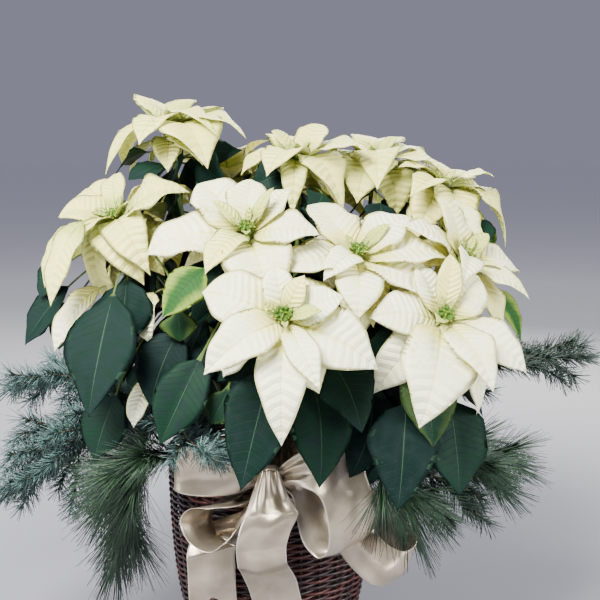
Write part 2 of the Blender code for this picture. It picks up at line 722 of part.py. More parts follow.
def head_axes(tilt, heading):
    """Normal of a head and the two directions of its plane: to the right, and up or back."""
    t = math.radians(tilt)
    h = math.radians(heading)
    normal = Vector((math.sin(t) * math.cos(h), math.sin(t) * math.sin(h), math.cos(t)))
    right = Vector((1, 0, 0)) - normal * normal.x
    right.normalize()
    return normal, right, normal.cross(right)


def spiral_bracts(name):
    """Bracts of a head on the far side: large ones below, small ones above, each turned by the golden angle."""
    draw = random.Random(name)
    rows = []
    for i in range(SPIRAL_BRACTS):
        share = i / (SPIRAL_BRACTS - 1)
        length = 124 - 78 * share ** 2 + draw.uniform(-8, 8)
        width = length * (0.52 - 0.14 * share)
        rise = -22 + 46 * share + draw.uniform(-5, 5)
        rows.append((math.degrees(i * GOLDEN_ANGLE) + draw.uniform(-8, 8), length, width, rise))
    return rows


def all_heads():
    """Every head with its bracts, the front ones first."""
    heads = dict(HEADS)
    for name, row in BACK_HEADS.items():
        heads[name] = (*row, spiral_bracts(name))
    return heads


def bract_blade(head, index, bract):
    """One bract: its root sits on the collar, lower for the large ones, and its spine arches over."""
    plant, centre, tilt, heading, bracts = head
    normal, right, up = head_axes(tilt, heading)
    azimuth, length, width, rise = bract
    angle = math.radians(azimuth)
    outward = right * math.cos(angle) + up * math.sin(angle)
    depth = 0.021 - 0.011 * index / len(bracts)
    root = Vector(centre) * MM - normal * depth + outward * COLLAR_RADIUS * 0.4
    lift = math.radians(rise)
    tip = Vector(centre) * MM + (outward * math.cos(lift) + normal * math.sin(lift)) * length * MM
    arch = length * MM * (0.20 + 0.12 * max(0, -rise) / 30)
    near = root.lerp(tip, 0.25) + normal * arch * 0.9
    far = root.lerp(tip, 0.72) + normal * arch
    shares = LARGE_SHARES if length > 108 else MIDDLE_SHARES if length > 68 else SMALL_SHARES
    wave = 0.10 if length > 68 else 0.0
    blade = make_blade((root, near, far, tip), normal, width * MM, BRACT_STALK, shares, 0.12, wave, 0.0015)
    return blade, normal, 1


def build_head(name, head, crowd, collection):
    """Collar and bracts of one head, fused."""
    plant, centre, tilt, heading, bracts = head
    normal = head_axes(tilt, heading)[0]
    top = Vector(centre) * MM
    meshes = [cone(top - normal * COLLAR_LENGTH, normal, COLLAR_LENGTH, COLLAR_RADIUS * 0.8, COLLAR_RADIUS, 6)]
    crowd.add_mesh(name, meshes[0])
    for index, bract in enumerate(bracts):
        blade, facing, outer_from = bract_blade(head, index, bract)
        placed = settle(crowd, name, blade, facing, outer_from)
        if placed is not None:
            meshes.append(mesh_from(placed, blade[2]))
    fuse(name, meshes, collection, "cream_bract")


def build_beads(name, head, crowd, collection):
    """The cluster of little green cups in the middle of a head: one low disc with beads round it."""
    plant, centre, tilt, heading, bracts = head
    normal, right, up = head_axes(tilt, heading)
    top = Vector(centre) * MM + normal * GAP
    meshes = [cone(top, normal, 0.004, 0.0076, 0.0072, 5)]
    for i in range(BEADS):
        angle = i * 2 * math.pi / BEADS + 0.4
        place = top + (right * math.cos(angle) + up * math.sin(angle)) * 0.0042 + normal * 0.0017
        meshes.append(cone(place, normal, 0.0066, 0.0016, 0.0024, 4))
    beads = name.replace("head", "beads")
    fuse(beads, meshes, collection, "bead_green")
    crowd.add_mesh(beads, bpy.data.objects[beads].data)


# Plants

def branch_path(head, count):
    """From the trunk up and out to the underside of a head's collar."""
    plant, centre, tilt, heading, bracts = head
    normal = head_axes(tilt, heading)[0]
    x, y = PLANTS[plant]
    start = Vector((x * MM, y * MM, TRUNK_TOP - 0.016))
    joint = Vector(centre) * MM - normal * (COLLAR_LENGTH + GAP)
    end = joint - normal * STRAIGHT_END
    reach = (end - start).length
    lean = Vector((end.x - start.x, end.y - start.y, 0)) * 0.15
    rising = start + lean + Vector((0, 0, reach * 0.35))
    curve = bezier((start, rising, end - normal * reach * 0.42, end), count - 1)
    return np.vstack([curve, tuple(joint)])


def build_trunk_and_branches(plant, heads, crowd):
    """Meshes of one plant's trunk and branches; each also joins the crowd."""
    x, y = PLANTS[plant]
    foot = Vector((x * MM, y * MM, SOIL_TOP - STEM_DEPTH))
    meshes = [cone(foot, Vector((0, 0, 1)), TRUNK_TOP - foot.z, TRUNK_RADIUS, TRUNK_RADIUS * 0.85,
                   TRUNK_SIDES)]
    crowd.add_mesh(plant, meshes[0])
    for name, head in heads.items():
        if head[0] != plant:
            continue
        path = branch_path(head, BRANCH_POINTS)
        radii = [BRANCH_RADIUS * (1.25 - 0.08 * i) for i in range(BRANCH_POINTS)]
        meshes.append(tube(path, radii, 0))
        crowd.add_mesh(plant, meshes[-1])
    return meshes


def leaf_blade(head, base, tip, width, fine):
    """A leaf: its stalk leaves the branch below the blade's base and the blade hangs to its tip."""
    path = branch_path(head, 24)
    base = Vector(base)
    tip = Vector(tip)
    wanted = base - (tip - base).normalized() * 0.035 + Vector((0, 0, 0.01))
    distances = [(Vector(p) - wanted).length for p in path[8:22]]
    root = Vector(path[8 + int(np.argmin(distances))])
    outward = Vector((base.x, base.y, 0)).normalized()
    facing = (outward * (0.5 if fine else 1.0) + Vector((0, -0.6 if fine else 0, 0.4))).normalized()
    stalk = (base - root).length
    blade = (tip - base).length
    petiole = stalk / (stalk + blade)
    near = root.lerp(base, 0.6) + Vector((0, 0, 0.25 * stalk))
    spine = (root, near, base + outward * 0.012 + Vector((0, 0, 0.006)), base.lerp(tip, 0.55) + outward * 0.012, tip)
    steps = (0.20, 0.50, 0.80) if fine and width > 0.055 else (0.30, 0.70)
    shares = (0.0, petiole, *(petiole + (1 - petiole) * step for step in steps), 1.0)
    return make_blade(spine, facing, width, petiole * 0.96, shares, 0.10, 0.05, 0.0015), facing


def row_leaves(heads):
    """Leaves that hang round the sides and the back, each from the nearest branch."""
    rows = []
    draw = random.Random(7)
    for height, radius, drop, length in LEAF_ROWS:
        for i in range(LEAVES_IN_ROW):
            angle = LEAF_ARC[0] + (LEAF_ARC[1] - LEAF_ARC[0]) * (i + 0.5 * (height < 0.45)) / (LEAVES_IN_ROW - 0.5)
            out = Vector((math.cos(angle), math.sin(angle), 0))
            base = out * radius + Vector((0.02, 0, height + draw.uniform(-0.012, 0.012)))
            tip = base + out * drop - Vector((0, 0, length * draw.uniform(0.85, 1.05)))
            nearest = min(heads, key=lambda name: (Vector(heads[name][1]) * MM - base).length)
            rows.append((nearest, base, tip, draw.uniform(0.056, 0.070), False))
    return rows


def collar_leaves(heads):
    """The green leaves right below each head, turned from one another by the golden angle."""
    rows = []
    for name, head in heads.items():
        plant, centre, tilt, heading, bracts = head
        normal, right, up = head_axes(tilt, heading)
        for i in range(LEAVES_UNDER_HEAD):
            angle = math.radians(heading) + (i + 0.5) * GOLDEN_ANGLE + len(name)
            out = right * math.cos(angle) + up * math.sin(angle)
            base = Vector(centre) * MM - normal * (0.055 + 0.022 * i) + out * 0.034
            tip = base + out * 0.072 - normal * 0.040 - Vector((0, 0, 0.015))
            rows.append((name, base, tip, 0.056, False))
    return rows


def build_plant(plant, meshes, leaves, heads, crowd, collection):
    """One plant: trunk, branches and green leaves, fused."""
    for carrier, base, tip, width, fine in leaves:
        if heads[carrier][0] != plant:
            continue
        blade, facing = leaf_blade(heads[carrier], base, tip, width, fine)
        placed = settle(crowd, plant, blade, facing, 1)
        if placed is not None:
            meshes.append(mesh_from(placed, blade[2]))
    fuse(plant, meshes, collection, "leaf_green")


# Bow

def ribbon_strip(name, rows, collection):
    """A strip of ribbon: one edge runs through the rows' points and the width lies along their directions.

    The strip narrows towards the knot, where the real ribbon is gathered.
    """
    count = 2 * len(rows)
    edge = smooth_path([row[0] for row in rows], count) * MM
    rulings = smooth_path([row[1] for row in rows], count)
    is_tail = "tail" in name
    columns = 3 if is_tail else 2
    vertices = []
    for i in range(count):
        ahead = (Vector(edge[min(i + 1, count - 1)]) - Vector(edge[max(i - 1, 0)])).normalized()
        across = Vector(rulings[i]).normalized()
        slant = max(across.cross(ahead).length, 0.8)
        from_knot = i if is_tail else min(i, count - 1 - i)
        step = SLOW_GATHER_STEP if is_tail or name in SLOW_GATHERED else GATHER_STEP
        across *= RIBBON_WIDTH / slant * min(1, GATHER + step * from_knot)
        for column in range(columns):
            vertices.append(Vector(edge[i]) + across * column / (columns - 1))
    if is_tail:
        vertices[-2] -= ahead * TAIL_NOTCH
        vertices[-5] -= ahead * TAIL_NOTCH * 0.4
    faces = []
    for i in range(count - 1):
        for column in range(columns - 1):
            a = i * columns + column
            faces.append((a, a + 1, a + columns + 1, a + columns))
    mesh = bpy.data.meshes.new(name)
    mesh.from_pydata([tuple(v) for v in vertices], [], faces)
    item = add_object(name, mesh, collection, "satin_champagne")
    shell = item.modifiers.new("Thickness", "SOLIDIFY")
    shell.thickness = RIBBON_THICKNESS
    shell.offset = 0
    shell.use_even_offset = False
    return item


def build_knot(collection):
    """The gathered middle of the bow, held against the rim."""
    work = bmesh.new()
    bmesh.ops.create_cube(work, size=1)
    size = Vector(KNOT_SIZE) * MM
    bmesh.ops.scale(work, vec=size, verts=work.verts)
    bmesh.ops.bevel(work, geom=list(work.edges), offset=0.005, segments=1, affect="EDGES", profile=0.5)
    bmesh.ops.translate(work, vec=Vector(KNOT_CENTRE) * MM, verts=work.verts)
    mesh = bpy.data.meshes.new("ribbon_knot")
    work.to_mesh(mesh)
    work.free()
    return add_object("ribbon_knot", mesh, collection, "satin_champagne")


# Sprays

def spray_twigs(name):
    """The points of each twig of a spray, in metres; the first starts in the soil and crosses the rim."""
    degrees, twigs = SPRAYS[name][:2]
    angle = math.radians(degrees)
    start = [(radius * math.cos(angle), radius * math.sin(angle), height) for radius, height in OVER_RIM]
    return [np.array(start * (number == 0) + points) * MM for number, points in enumerate(twigs)]


def needle_rows(name, path, bare, length, count, spread):
    """Root, direction and length of each needle of a twig: round it by the golden angle, out to its tip."""
    draw = random.Random(name + str(len(path)))
    rows = []
    for i in range(count):
        share = bare + (1 - bare) * (i + 0.5) / count
        place = share * (len(path) - 1)
        k = min(int(place), len(path) - 2)
        root = Vector(path[k]).lerp(Vector(path[k + 1]), place - k)
        along = (Vector(path[k + 1]) - Vector(path[k])).normalized()
        side = along.orthogonal().normalized()
        around = Matrix.Rotation(i * GOLDEN_ANGLE, 3, along) @ side
        lean = math.radians(spread * (1 - 0.5 * (share > 0.93)) + draw.uniform(-6, 6))
        direction = along * math.cos(lean) + around * math.sin(lean)
        rows.append((root, direction, length * MM * draw.uniform(0.85, 1.1)))
    rows.append((Vector(path[-2]), (Vector(path[-1]) - Vector(path[-2])).normalized(), length * MM))
    return rows


def build_spray(name, crowd, collection):
    """Twigs and needles of one spray, fused; a needle that would hit something is left out."""
    length, count, spread = SPRAYS[name][2:]
    meshes = []
    needles = []
    for number, path in enumerate(spray_twigs(name)):
        radii = [TWIG_RADIUS * (1 - 0.5 * i / len(path)) for i in range(len(path))]
        meshes.append(tube(path, radii, 0))
        bare = 0.5 if number == 0 else 0.1
        for root, direction, size in needle_rows(name, path, bare, length, count, spread):
            needle = cone(root, direction, size, NEEDLE_RADIUS, 0.0, 3)
            rows = [v.co for v in needle.vertices]
            faces = [tuple(p.vertices) for p in needle.polygons]
            if not crowd.touches(name, rows, faces, rows, faces):
                needles.append(needle)
    for mesh in meshes + needles:
        crowd.add_mesh(name, mesh)
    blue = name.startswith("spruce")
    fuse(name, meshes + needles, collection, "needle_blue_green" if blue else "needle_green")


def stem_holes():
    """Place, direction, radius and depth of the holes for the trunks and the sprays."""
    holes = []
    for x, y in PLANTS.values():
        foot = Vector((x * MM, y * MM, SOIL_TOP - STEM_DEPTH))
        holes.append((foot, Vector((0, 0, 1)), TRUNK_RADIUS + HOLE_CLEARANCE, STEM_DEPTH, TRUNK_SIDES))
    for name in SPRAYS:
        path = spray_twigs(name)[0]
        direction = (Vector(path[1]) - Vector(path[0])).normalized()
        holes.append((Vector(path[0]), direction, TWIG_RADIUS + HOLE_CLEARANCE, TWIG_DEPTH, TWIG_HOLE_SIDES))
    return holes


def build():
    """Everything, from the basket outwards, so that each piece can keep clear of those before it."""
    clear_scene()
    collection = new_collection("poinsettia")
    build_basket_wall(collection)
    build_basket_rim(collection)
    build_liner(collection)
    build_soil(collection, stem_holes())
    crowd = Crowd()
    knot = build_knot(collection)
    strips = [ribbon_strip(name, rows, collection) for name, rows in BOW.items()]
    bpy.context.view_layer.update()
    for item in [knot, *strips, *(bpy.data.objects[n] for n in ("basket_wall", "basket_rim", "liner_pot"))]:
        crowd.add_mesh(item.name, evaluated_mesh(item))
    heads = all_heads()
    stems = {plant: build_trunk_and_branches(plant, heads, crowd) for plant in PLANTS}
    for name in SPRAYS:
        for path in spray_twigs(name):
            crowd.add_mesh(name, tube(path, [TWIG_RADIUS + BLADE_CLEARANCE] * len(path), 0))
    for name, head in heads.items():
        build_beads(name, head, crowd, collection)
        build_head(name, head, crowd, collection)
    leaves = [(row[0], Vector(row[1]) * MM, Vector(row[2]) * MM, row[3] * MM, True) for row in LEAVES]
    leaves += row_leaves(heads) + collar_leaves(heads)
    for plant, meshes in stems.items():
        build_plant(plant, meshes, leaves, heads, crowd, collection)
    for name in SPRAYS:
        build_spray(name, crowd, collection)


build()
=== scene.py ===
"""Cream poinsettia in a wicker basket, with a satin bow and evergreen sprays.

Metres, +Z up. The origin is the middle of the basket's underside, and the front faces -Y.
Places in the tables are in millimetres (x, y, z) from that origin.
"""

import math
import random

import bpy
import numpy as np
from mathutils import Matrix, Vector
from mathutils.bvhtree import BVHTree


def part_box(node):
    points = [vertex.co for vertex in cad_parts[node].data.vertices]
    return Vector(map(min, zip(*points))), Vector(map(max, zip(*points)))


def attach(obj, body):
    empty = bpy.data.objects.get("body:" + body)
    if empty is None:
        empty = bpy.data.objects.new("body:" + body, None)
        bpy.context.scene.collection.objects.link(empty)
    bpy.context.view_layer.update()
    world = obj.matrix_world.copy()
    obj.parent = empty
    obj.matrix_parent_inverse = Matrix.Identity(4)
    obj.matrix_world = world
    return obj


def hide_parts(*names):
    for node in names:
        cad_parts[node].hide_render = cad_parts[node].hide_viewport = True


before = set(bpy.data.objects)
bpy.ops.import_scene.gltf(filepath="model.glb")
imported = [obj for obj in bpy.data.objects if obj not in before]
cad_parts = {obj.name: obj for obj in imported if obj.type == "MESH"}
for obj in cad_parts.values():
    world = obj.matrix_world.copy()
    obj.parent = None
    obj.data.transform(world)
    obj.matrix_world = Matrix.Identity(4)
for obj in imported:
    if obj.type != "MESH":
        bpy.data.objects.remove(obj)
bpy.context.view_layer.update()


# Camera, floor and light
#
# The photo is taken from a little above the basket's rim, straight at the front, from about 1.35 m away.
# The floor is a plain pale board. A large soft lamp shines from above, and three weaker ones from the sides
# and from behind.

VIEW_TARGET = Vector((0.0435, 0, 0.50))
VIEW_DISTANCE = 1.35
VIEW_ELEVATION = math.radians(9)
SENSOR = 36.0
FOCAL_LENGTH = 55.9
LAMP_TARGET = (0, 0, 0.45)
FLOOR_REACH = 60


def aim(item, target):
    """Turn an object so that its -Z axis looks at the target."""
    item.rotation_euler = (Vector(target) - item.location).to_track_quat("-Z", "Y").to_euler()


def soft_lamp(name, place, size, power, colour):
    """A square area lamp that looks at the middle of the plant."""
    lamp = bpy.data.lights.new(name, "AREA")
    lamp.size = size
    lamp.energy = power
    lamp.color = colour
    item = bpy.data.objects.new(name, lamp)
    bpy.context.scene.collection.objects.link(item)
    item.location = place
    aim(item, LAMP_TARGET)


camera = bpy.data.objects.new("camera", bpy.data.cameras.new("camera"))
bpy.context.scene.collection.objects.link(camera)
camera_way = Vector((0, -math.cos(VIEW_ELEVATION), math.sin(VIEW_ELEVATION)))
camera.location = VIEW_TARGET + camera_way * VIEW_DISTANCE
aim(camera, VIEW_TARGET)
camera.data.sensor_width = SENSOR
camera.data.lens = FOCAL_LENGTH
bpy.context.scene.camera = camera

soft_lamp("lamp_above", (-0.7, -1.2, 1.9), 0.9, 172, (1.0, 0.995, 0.955))
soft_lamp("lamp_right", (1.7, -0.9, 0.9), 1.0, 62, (0.97, 0.99, 1.0))
soft_lamp("lamp_left", (-1.8, -0.5, 0.8), 1.0, 36, (0.97, 0.99, 1.0))
soft_lamp("lamp_behind", (0.4, 1.7, 1.5), 1.2, 62, (1.0, 0.99, 0.95))

world = bpy.data.worlds.new("studio")
bpy.context.scene.world = world
world.use_nodes = True
world_inputs = world.node_tree.nodes["Background"].inputs
world_inputs["Color"].default_value = (0.405, 0.41, 0.53, 1)
world_inputs["Strength"].default_value = 0.57


class Finish:
    """A material built up from nodes, with short ways to add the usual ones."""

    def __init__(self, name, roughness):
        self.material = bpy.data.materials.new(name)
        self.material.use_nodes = True
        self.tree = self.material.node_tree
        self.shader = self.tree.nodes["Principled BSDF"]
        self.shader.inputs["Roughness"].default_value = roughness

    def node(self, kind, **settings):
        """A new node with its settings."""
        made = self.tree.nodes.new(kind)
        for key, value in settings.items():
            setattr(made, key, value)
        return made

    def feed(self, socket, value):
        """Put a number, a colour or another node's output on a socket."""
        if isinstance(value, bpy.types.NodeSocket):
            self.tree.links.new(value, socket)
        else:
            socket.default_value = value

    def place(self):
        """Object coordinates."""
        return self.node("ShaderNodeTexCoord").outputs["Object"]

    def mark(self, name):
        """A value stored on the mesh's points."""
        return self.node("ShaderNodeAttribute", attribute_name=name).outputs["Fac"]

    def sum(self, operation, *values):
        """A Math node."""
        made = self.node("ShaderNodeMath", operation=operation)
        for socket, value in zip(made.inputs, values):
            self.feed(socket, value)
        return made.outputs[0]

    def total(self, *parts):
        """The sum of its parts, each a value or a pair of a value and its weight."""
        made = None
        for part in parts:
            value = self.sum("MULTIPLY", *part) if isinstance(part, tuple) else part
            made = value if made is None else self.sum("ADD", made, value)
        return made

    def ramp(self, value, low, high, out_low=0.0, out_high=1.0):
        """A smooth step of a value from low to high."""
        made = self.node("ShaderNodeMapRange", interpolation_type="SMOOTHSTEP")
        for key, number in zip(("Value", "From Min", "From Max", "To Min", "To Max"),
                               (value, low, high, out_low, out_high)):
            self.feed(made.inputs[key], number)
        return made.outputs[0]

    def noise(self, scale, detail=3.0, stretch=(1, 1, 1)):
        """Noise on Object coordinates, about one blob each 1/scale metres."""
        spread = self.node("ShaderNodeMapping")
        self.feed(spread.inputs["Vector"], self.place())
        spread.inputs["Scale"].default_value = stretch
        made = self.node("ShaderNodeTexNoise")
        self.feed(made.inputs["Vector"], spread.outputs[0])
        made.inputs["Scale"].default_value = scale
        made.inputs["Detail"].default_value = detail
        return made.outputs["Fac"]

    def mix(self, share, first, second):
        """A mix of two colours."""
        made = self.node("ShaderNodeMix", data_type="RGBA")
        self.feed(made.inputs["Factor"], share)
        self.feed(made.inputs["A"], first)
        self.feed(made.inputs["B"], second)
        return made.outputs["Result"]

    def bump(self, height, depth):
        """Relief of a height from 0 to 1, in metres of depth."""
        made = self.node("ShaderNodeBump")
        made.inputs["Distance"].default_value = depth
        self.feed(made.inputs["Height"], height)
        self.feed(self.shader.inputs["Normal"], made.outputs[0])

    def colour(self, value):
        """The base colour."""
        self.feed(self.shader.inputs["Base Color"], value)


def pale_board():
    """Matt board with painted light: painted shade makes it grey near the basket, and painted brightness
    makes it nearly white far away, where it meets the background.
    """
    finish = Finish("pale_board", 1.0)
    distance = finish.node("ShaderNodeVectorMath", operation="LENGTH")
    finish.feed(distance.inputs[0], finish.place())
    # Painted light: from painted shade near the basket to painted brightness far off.
    painted_light_fade = finish.node("ShaderNodeMapRange")
    finish.feed(painted_light_fade.inputs["Value"], distance.outputs["Value"])
    painted_light_fade.inputs["From Min"].default_value = 0.5
    painted_light_fade.inputs["From Max"].default_value = 4.0
    finish.colour(finish.mix(painted_light_fade.outputs[0], (0.24, 0.24, 0.27, 1), (0.985, 0.985, 0.985, 1)))
    finish.shader.inputs["Specular IOR Level"].default_value = 0.0
    return finish.material


floor_mesh = bpy.data.meshes.new("floor")
floor_corners = [(x * FLOOR_REACH, y * FLOOR_REACH, 0) for x, y in ((-1, -1), (1, -1), (1, 1), (-1, 1))]
floor_mesh.from_pydata(floor_corners, [], [(0, 1, 2, 3)])
floor_mesh.materials.append(pale_board())
floor = bpy.data.objects.new("floor", floor_mesh)
bpy.context.scene.collection.objects.link(floor)


# Basket wall
#
# Round willow rods, stained dark red-brown, woven in front of one upright stake and behind the next. Each row
# is one rod a few millimetres thick, and the rows are pushed down hard on each other.

BASKET_HEIGHT = 0.268
BASE_RADIUS = 0.112
MOUTH_RADIUS = 0.151
WALL = 0.007
STAKES = 30
ROD_ROWS = 58
ROD_THICK = 0.0016
ROD_TALL = 0.0024
WEAVE_SWING = 0.0030
STAKE_RADIUS = 0.0021
BASE_RINGS = 22
BASE_SPACING = 0.005
UP = np.array([0.0, 0.0, 1.0])


def ring_of(centres, across, upward, half_across, half_upward, sides):
    """Points round a path: centre + across * half_across * cos(a) + upward * half_upward * sin(a)."""
    angle = np.linspace(0, 2 * np.pi, sides, endpoint=False)
    half_across = np.broadcast_to(half_across, len(centres))[:, None, None]
    half_upward = np.broadcast_to(half_upward, len(centres))[:, None, None]
    wide = across[:, None, :] * half_across * np.cos(angle)[None, :, None]
    tall = upward[:, None, :] * half_upward * np.sin(angle)[None, :, None]
    return centres[:, None, :] + wide + tall


def unit(rows):
    """Rows scaled to length 1."""
    return rows / np.linalg.norm(rows, axis=1)[:, None]


def circle(count):
    """Angles round a full circle, and the level directions outwards at them."""
    angle = np.linspace(0, 2 * np.pi, count, endpoint=False)
    return angle, np.stack([np.cos(angle), np.sin(angle), 0 * angle], axis=1)


def path_frame(path):
    """Two directions square to a path: one level (path x up), the other square to both."""
    along = unit(np.gradient(path, axis=0))
    guide = np.where(np.abs(along[:, 2:3]) > 0.95, np.array([[0.0, 1.0, 0.0]]), np.array([[0.0, 0.0, 1.0]]))
    across = unit(np.cross(along, guide))
    return across, np.cross(across, along)


def mesh_of(name, points, corners, sizes, values):
    """A mesh from its points, the corners of all faces in a row, how many each face has, and its marks."""
    mesh = bpy.data.meshes.new(name)
    mesh.vertices.add(len(points))
    mesh.vertices.foreach_set("co", points.astype(np.float32).ravel())
    mesh.loops.add(len(corners))
    mesh.loops.foreach_set("vertex_index", corners.astype(np.int32))
    mesh.polygons.add(len(sizes))
    mesh.polygons.foreach_set("loop_start", (np.cumsum(sizes) - sizes).astype(np.int32))
    mesh.update(calc_edges=True)
    for key, arrays in values.items():
        mark = mesh.attributes.new(key, "FLOAT", "POINT")
        mark.data.foreach_set("value", np.concatenate(arrays).astype(np.float32))
    return mesh


def surface_mesh(name, sheets, closed_path=False):
    """One mesh from grids of points that close round their second index.

    Each sheet is (points of shape rows x sides x 3, {attribute name: one value, or values for rows x sides}).
    Four neighbours make a face. The first and the last ring get a flat cap, unless the path is closed.
    """
    points, quads, caps, values = [], [], [], {}
    first = 0
    for rings, marks in sheets:
        rows, sides = rings.shape[:2]
        index = first + np.arange(rows * sides).reshape(rows, sides)
        below = index if closed_path else index[:-1]
        above = np.roll(index, -1, axis=0) if closed_path else index[1:]
        faces = np.stack([below, np.roll(below, -1, 1), np.roll(above, -1, 1), above], axis=-1).reshape(-1, 4)
        ends = [] if closed_path else [index[0][::-1], index[-1]]
        if enclosed(rings, closed_path) < 0:
            faces = faces[:, ::-1]
            ends = [end[::-1] for end in ends]
        points.append(rings.reshape(-1, 3))
        quads.append(faces)
        caps.extend(ends)
        for key, rows_of_values in marks.items():
            values.setdefault(key, []).append(np.broadcast_to(rows_of_values, (rows, sides)).ravel())
        first += rows * sides
    quads = np.concatenate(quads)
    corners = np.concatenate([quads.ravel(), *caps]) if caps else quads.ravel()
    sizes = np.concatenate([np.full(len(quads), 4), [len(cap) for cap in caps]]).astype(np.int32)
    mesh = mesh_of(name, np.concatenate(points), corners, sizes, values)
    mesh.polygons.foreach_set("use_smooth", np.ones(len(sizes), dtype=bool))
    mesh.validate()
    return mesh


def enclosed(rings, closed_path):
    """Volume inside a grid of rings, from the divergence theorem; negative if the faces point inwards."""
    middle = rings.reshape(-1, 3).mean(axis=0)
    p = rings - middle
    q = p if closed_path else p[:-1]
    r = np.roll(p, -1, axis=0) if closed_path else p[1:]
    a, b = q, np.roll(q, -1, 1)
    c, d = np.roll(r, -1, 1), r
    return float((a * np.cross(b, c)).sum() + (a * np.cross(c, d)).sum())


def put(name, mesh, finish, slot, *nodes):
    """Make the mesh a piece of the part: it rides on the root and stands for CAD nodes; the slot is not used.
    """
    mesh.materials.append(finish)
    piece = bpy.data.objects.new(name, mesh)
    bpy.context.scene.collection.objects.link(piece)
    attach(piece, "root")
    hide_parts(*nodes)
    return piece


def put_sheets(name, sheets, finish, slot, node, closed_path=False):
    """Make sheets one piece that stands for a CAD node."""
    return put(name, surface_mesh(name, sheets, closed_path), finish, slot, node)


def basket_radius(height):
    """Outer radius: base + (mouth - base) * sin(90 degrees * (height / full height) ^ 0.6)."""
    share = np.clip(height, 0, None) / BASKET_HEIGHT
    return BASE_RADIUS + (MOUTH_RADIUS - BASE_RADIUS) * np.sin(np.pi / 2 * share ** 0.6)


def woven_rods():
    """Rods as closed rings: radius + swing * cos(15 turns of the angle + half a turn each row)."""
    draw = np.random.default_rng(3)
    angle, outward = circle(STAKES * 4)
    pitch = BASKET_HEIGHT / ROD_ROWS
    sheets = []
    for row in range(ROD_ROWS):
        height = pitch * (row + 0.5) + 0.0003 * np.sin(3 * angle + row)
        swing = WEAVE_SWING * np.cos(STAKES / 2 * angle + np.pi * row) * draw.uniform(0.9, 1.08)
        radius = basket_radius(height) - WALL / 2 + swing
        centres = outward * radius[:, None] + UP * height[:, None]
        upward = np.broadcast_to(UP, centres.shape)
        thick = ROD_THICK * draw.uniform(0.9, 1.1)
        sheets.append((ring_of(centres, outward, upward, thick, ROD_TALL, 5), {"shade": draw.uniform(0, 1)}))
    return sheets


def upright_stakes():
    """Stakes in the middle of the wall, from the base up to under the rim."""
    height = np.linspace(0.001, BASKET_HEIGHT - 0.001, 12)
    radius = basket_radius(height) - WALL / 2
    sheets = []
    for stake in range(STAKES):
        angle = 2 * np.pi * stake / STAKES
        outward = np.broadcast_to([math.cos(angle), math.sin(angle), 0.0], (len(height), 3))
        sideways = np.broadcast_to([-math.sin(angle), math.cos(angle), 0.0], (len(height), 3))
        centres = outward * radius[:, None] + UP * height[:, None]
        rings = ring_of(centres, sideways, outward, STAKE_RADIUS, STAKE_RADIUS * 0.8, 6)
        sheets.append((rings, {"shade": 0.3}))
    return sheets


def base_rods():
    """The base: flat rings of rod from the middle out, close enough to hide the floor under them."""
    angle, outward = circle(48)
    upward = np.broadcast_to(UP, outward.shape)
    sheets = []
    for row in range(BASE_RINGS):
        radius = 0.004 + row * BASE_SPACING
        height = 0.0033 + 0.0009 * np.cos(12 * angle + np.pi * row) * min(1, row / 4)
        centres = outward * radius + UP * height[:, None]
        sheets.append((ring_of(centres, outward, upward, 0.0029, 0.0022, 5), {"shade": 0.4}))
    return sheets


def stained_willow():
    """Dark red-brown stain with streaks along the rods; a paler red, partly each rod's own tone and partly
    painted highlight, spread at random from rod to rod and in patches; a soft varnish.
    """
    finish = Finish("stained_willow", 0.38)
    streaks = finish.noise(420, 2, (1, 1, 5))
    # Share of the paler red: partly each rod's own tone and partly painted highlight, set per rod and in
    # patches.
    share = finish.ramp(finish.total((finish.mark("shade"), 0.5), (finish.noise(60, 4), 0.7)), 0.35, 0.95)
    dark = finish.mix(streaks, (0.010, 0.0035, 0.004, 1), (0.022, 0.007, 0.007, 1))
    finish.colour(finish.mix(share, dark, (0.080, 0.016, 0.011, 1)))
    finish.feed(finish.shader.inputs["Roughness"], finish.ramp(streaks, 0.3, 0.7, 0.30, 0.48))
    finish.bump(streaks, 0.0003)
    return finish.material


WILLOW = stained_willow()
put_sheets("basket_rods", woven_rods() + base_rods(), WILLOW, "wicker_brown", "basket_wall", closed_path=True)
put_sheets("basket_stakes", upright_stakes(), WILLOW, "wicker_brown", "basket_wall")


# Basket rim
#
# The stakes' ends are bent over and plaited into a thick border that sits on the wall. It looks like a rope
# of four rods laid round the mouth.

RIM_STRANDS = 4
RIM_WINDS = 17
RIM_ROD = 0.0043
POINTS_IN_WIND = 18


def plaited_rim():
    """Strands as closed helices: ring + offset * (cos, sin)(winds * angle + strand's share of a turn)."""
    low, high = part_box("basket_rim")
    middle = (low[2] + high[2]) / 2
    ring_radius = MOUTH_RADIUS - WALL / 2
    offset = (high[2] - low[2]) / 2 - RIM_ROD
    angle, outward = circle(RIM_WINDS * POINTS_IN_WIND)
    sheets = []
    for strand in range(RIM_STRANDS):
        turn = RIM_WINDS * angle + 2 * np.pi * strand / RIM_STRANDS
        centres = outward * (ring_radius + offset * np.cos(turn))[:, None]
        centres[:, 2] = middle + offset * np.sin(turn)
        across = outward * np.cos(turn)[:, None] + UP * np.sin(turn)[:, None]
        along = unit(np.roll(centres, -1, axis=0) - np.roll(centres, 1, axis=0))
        rings = ring_of(centres, across, np.cross(along, across), RIM_ROD, RIM_ROD * 1.05, 8)
        sheets.append((rings, {"shade": 0.35 + 0.2 * strand}))
    return sheets


put_sheets("basket_rim_plait", plaited_rim(), WILLOW, "wicker_brown", "basket_rim", closed_path=True)


# Liner and soil
#
# The plants grow in a plain black pot of thin plastic that stands inside the basket. It is filled with dark
# peaty potting mix, crumbly on top.

SOIL_TOP = 0.250


def black_plastic():
    """Matt black plastic with a faint mottle."""
    finish = Finish("black_plastic", 0.5)
    mottle = finish.noise(300, 3)
    finish.colour(finish.mix(mottle, (0.012, 0.012, 0.013, 1), (0.035, 0.035, 0.036, 1)))
    finish.bump(mottle, 0.0002)
    return finish.material


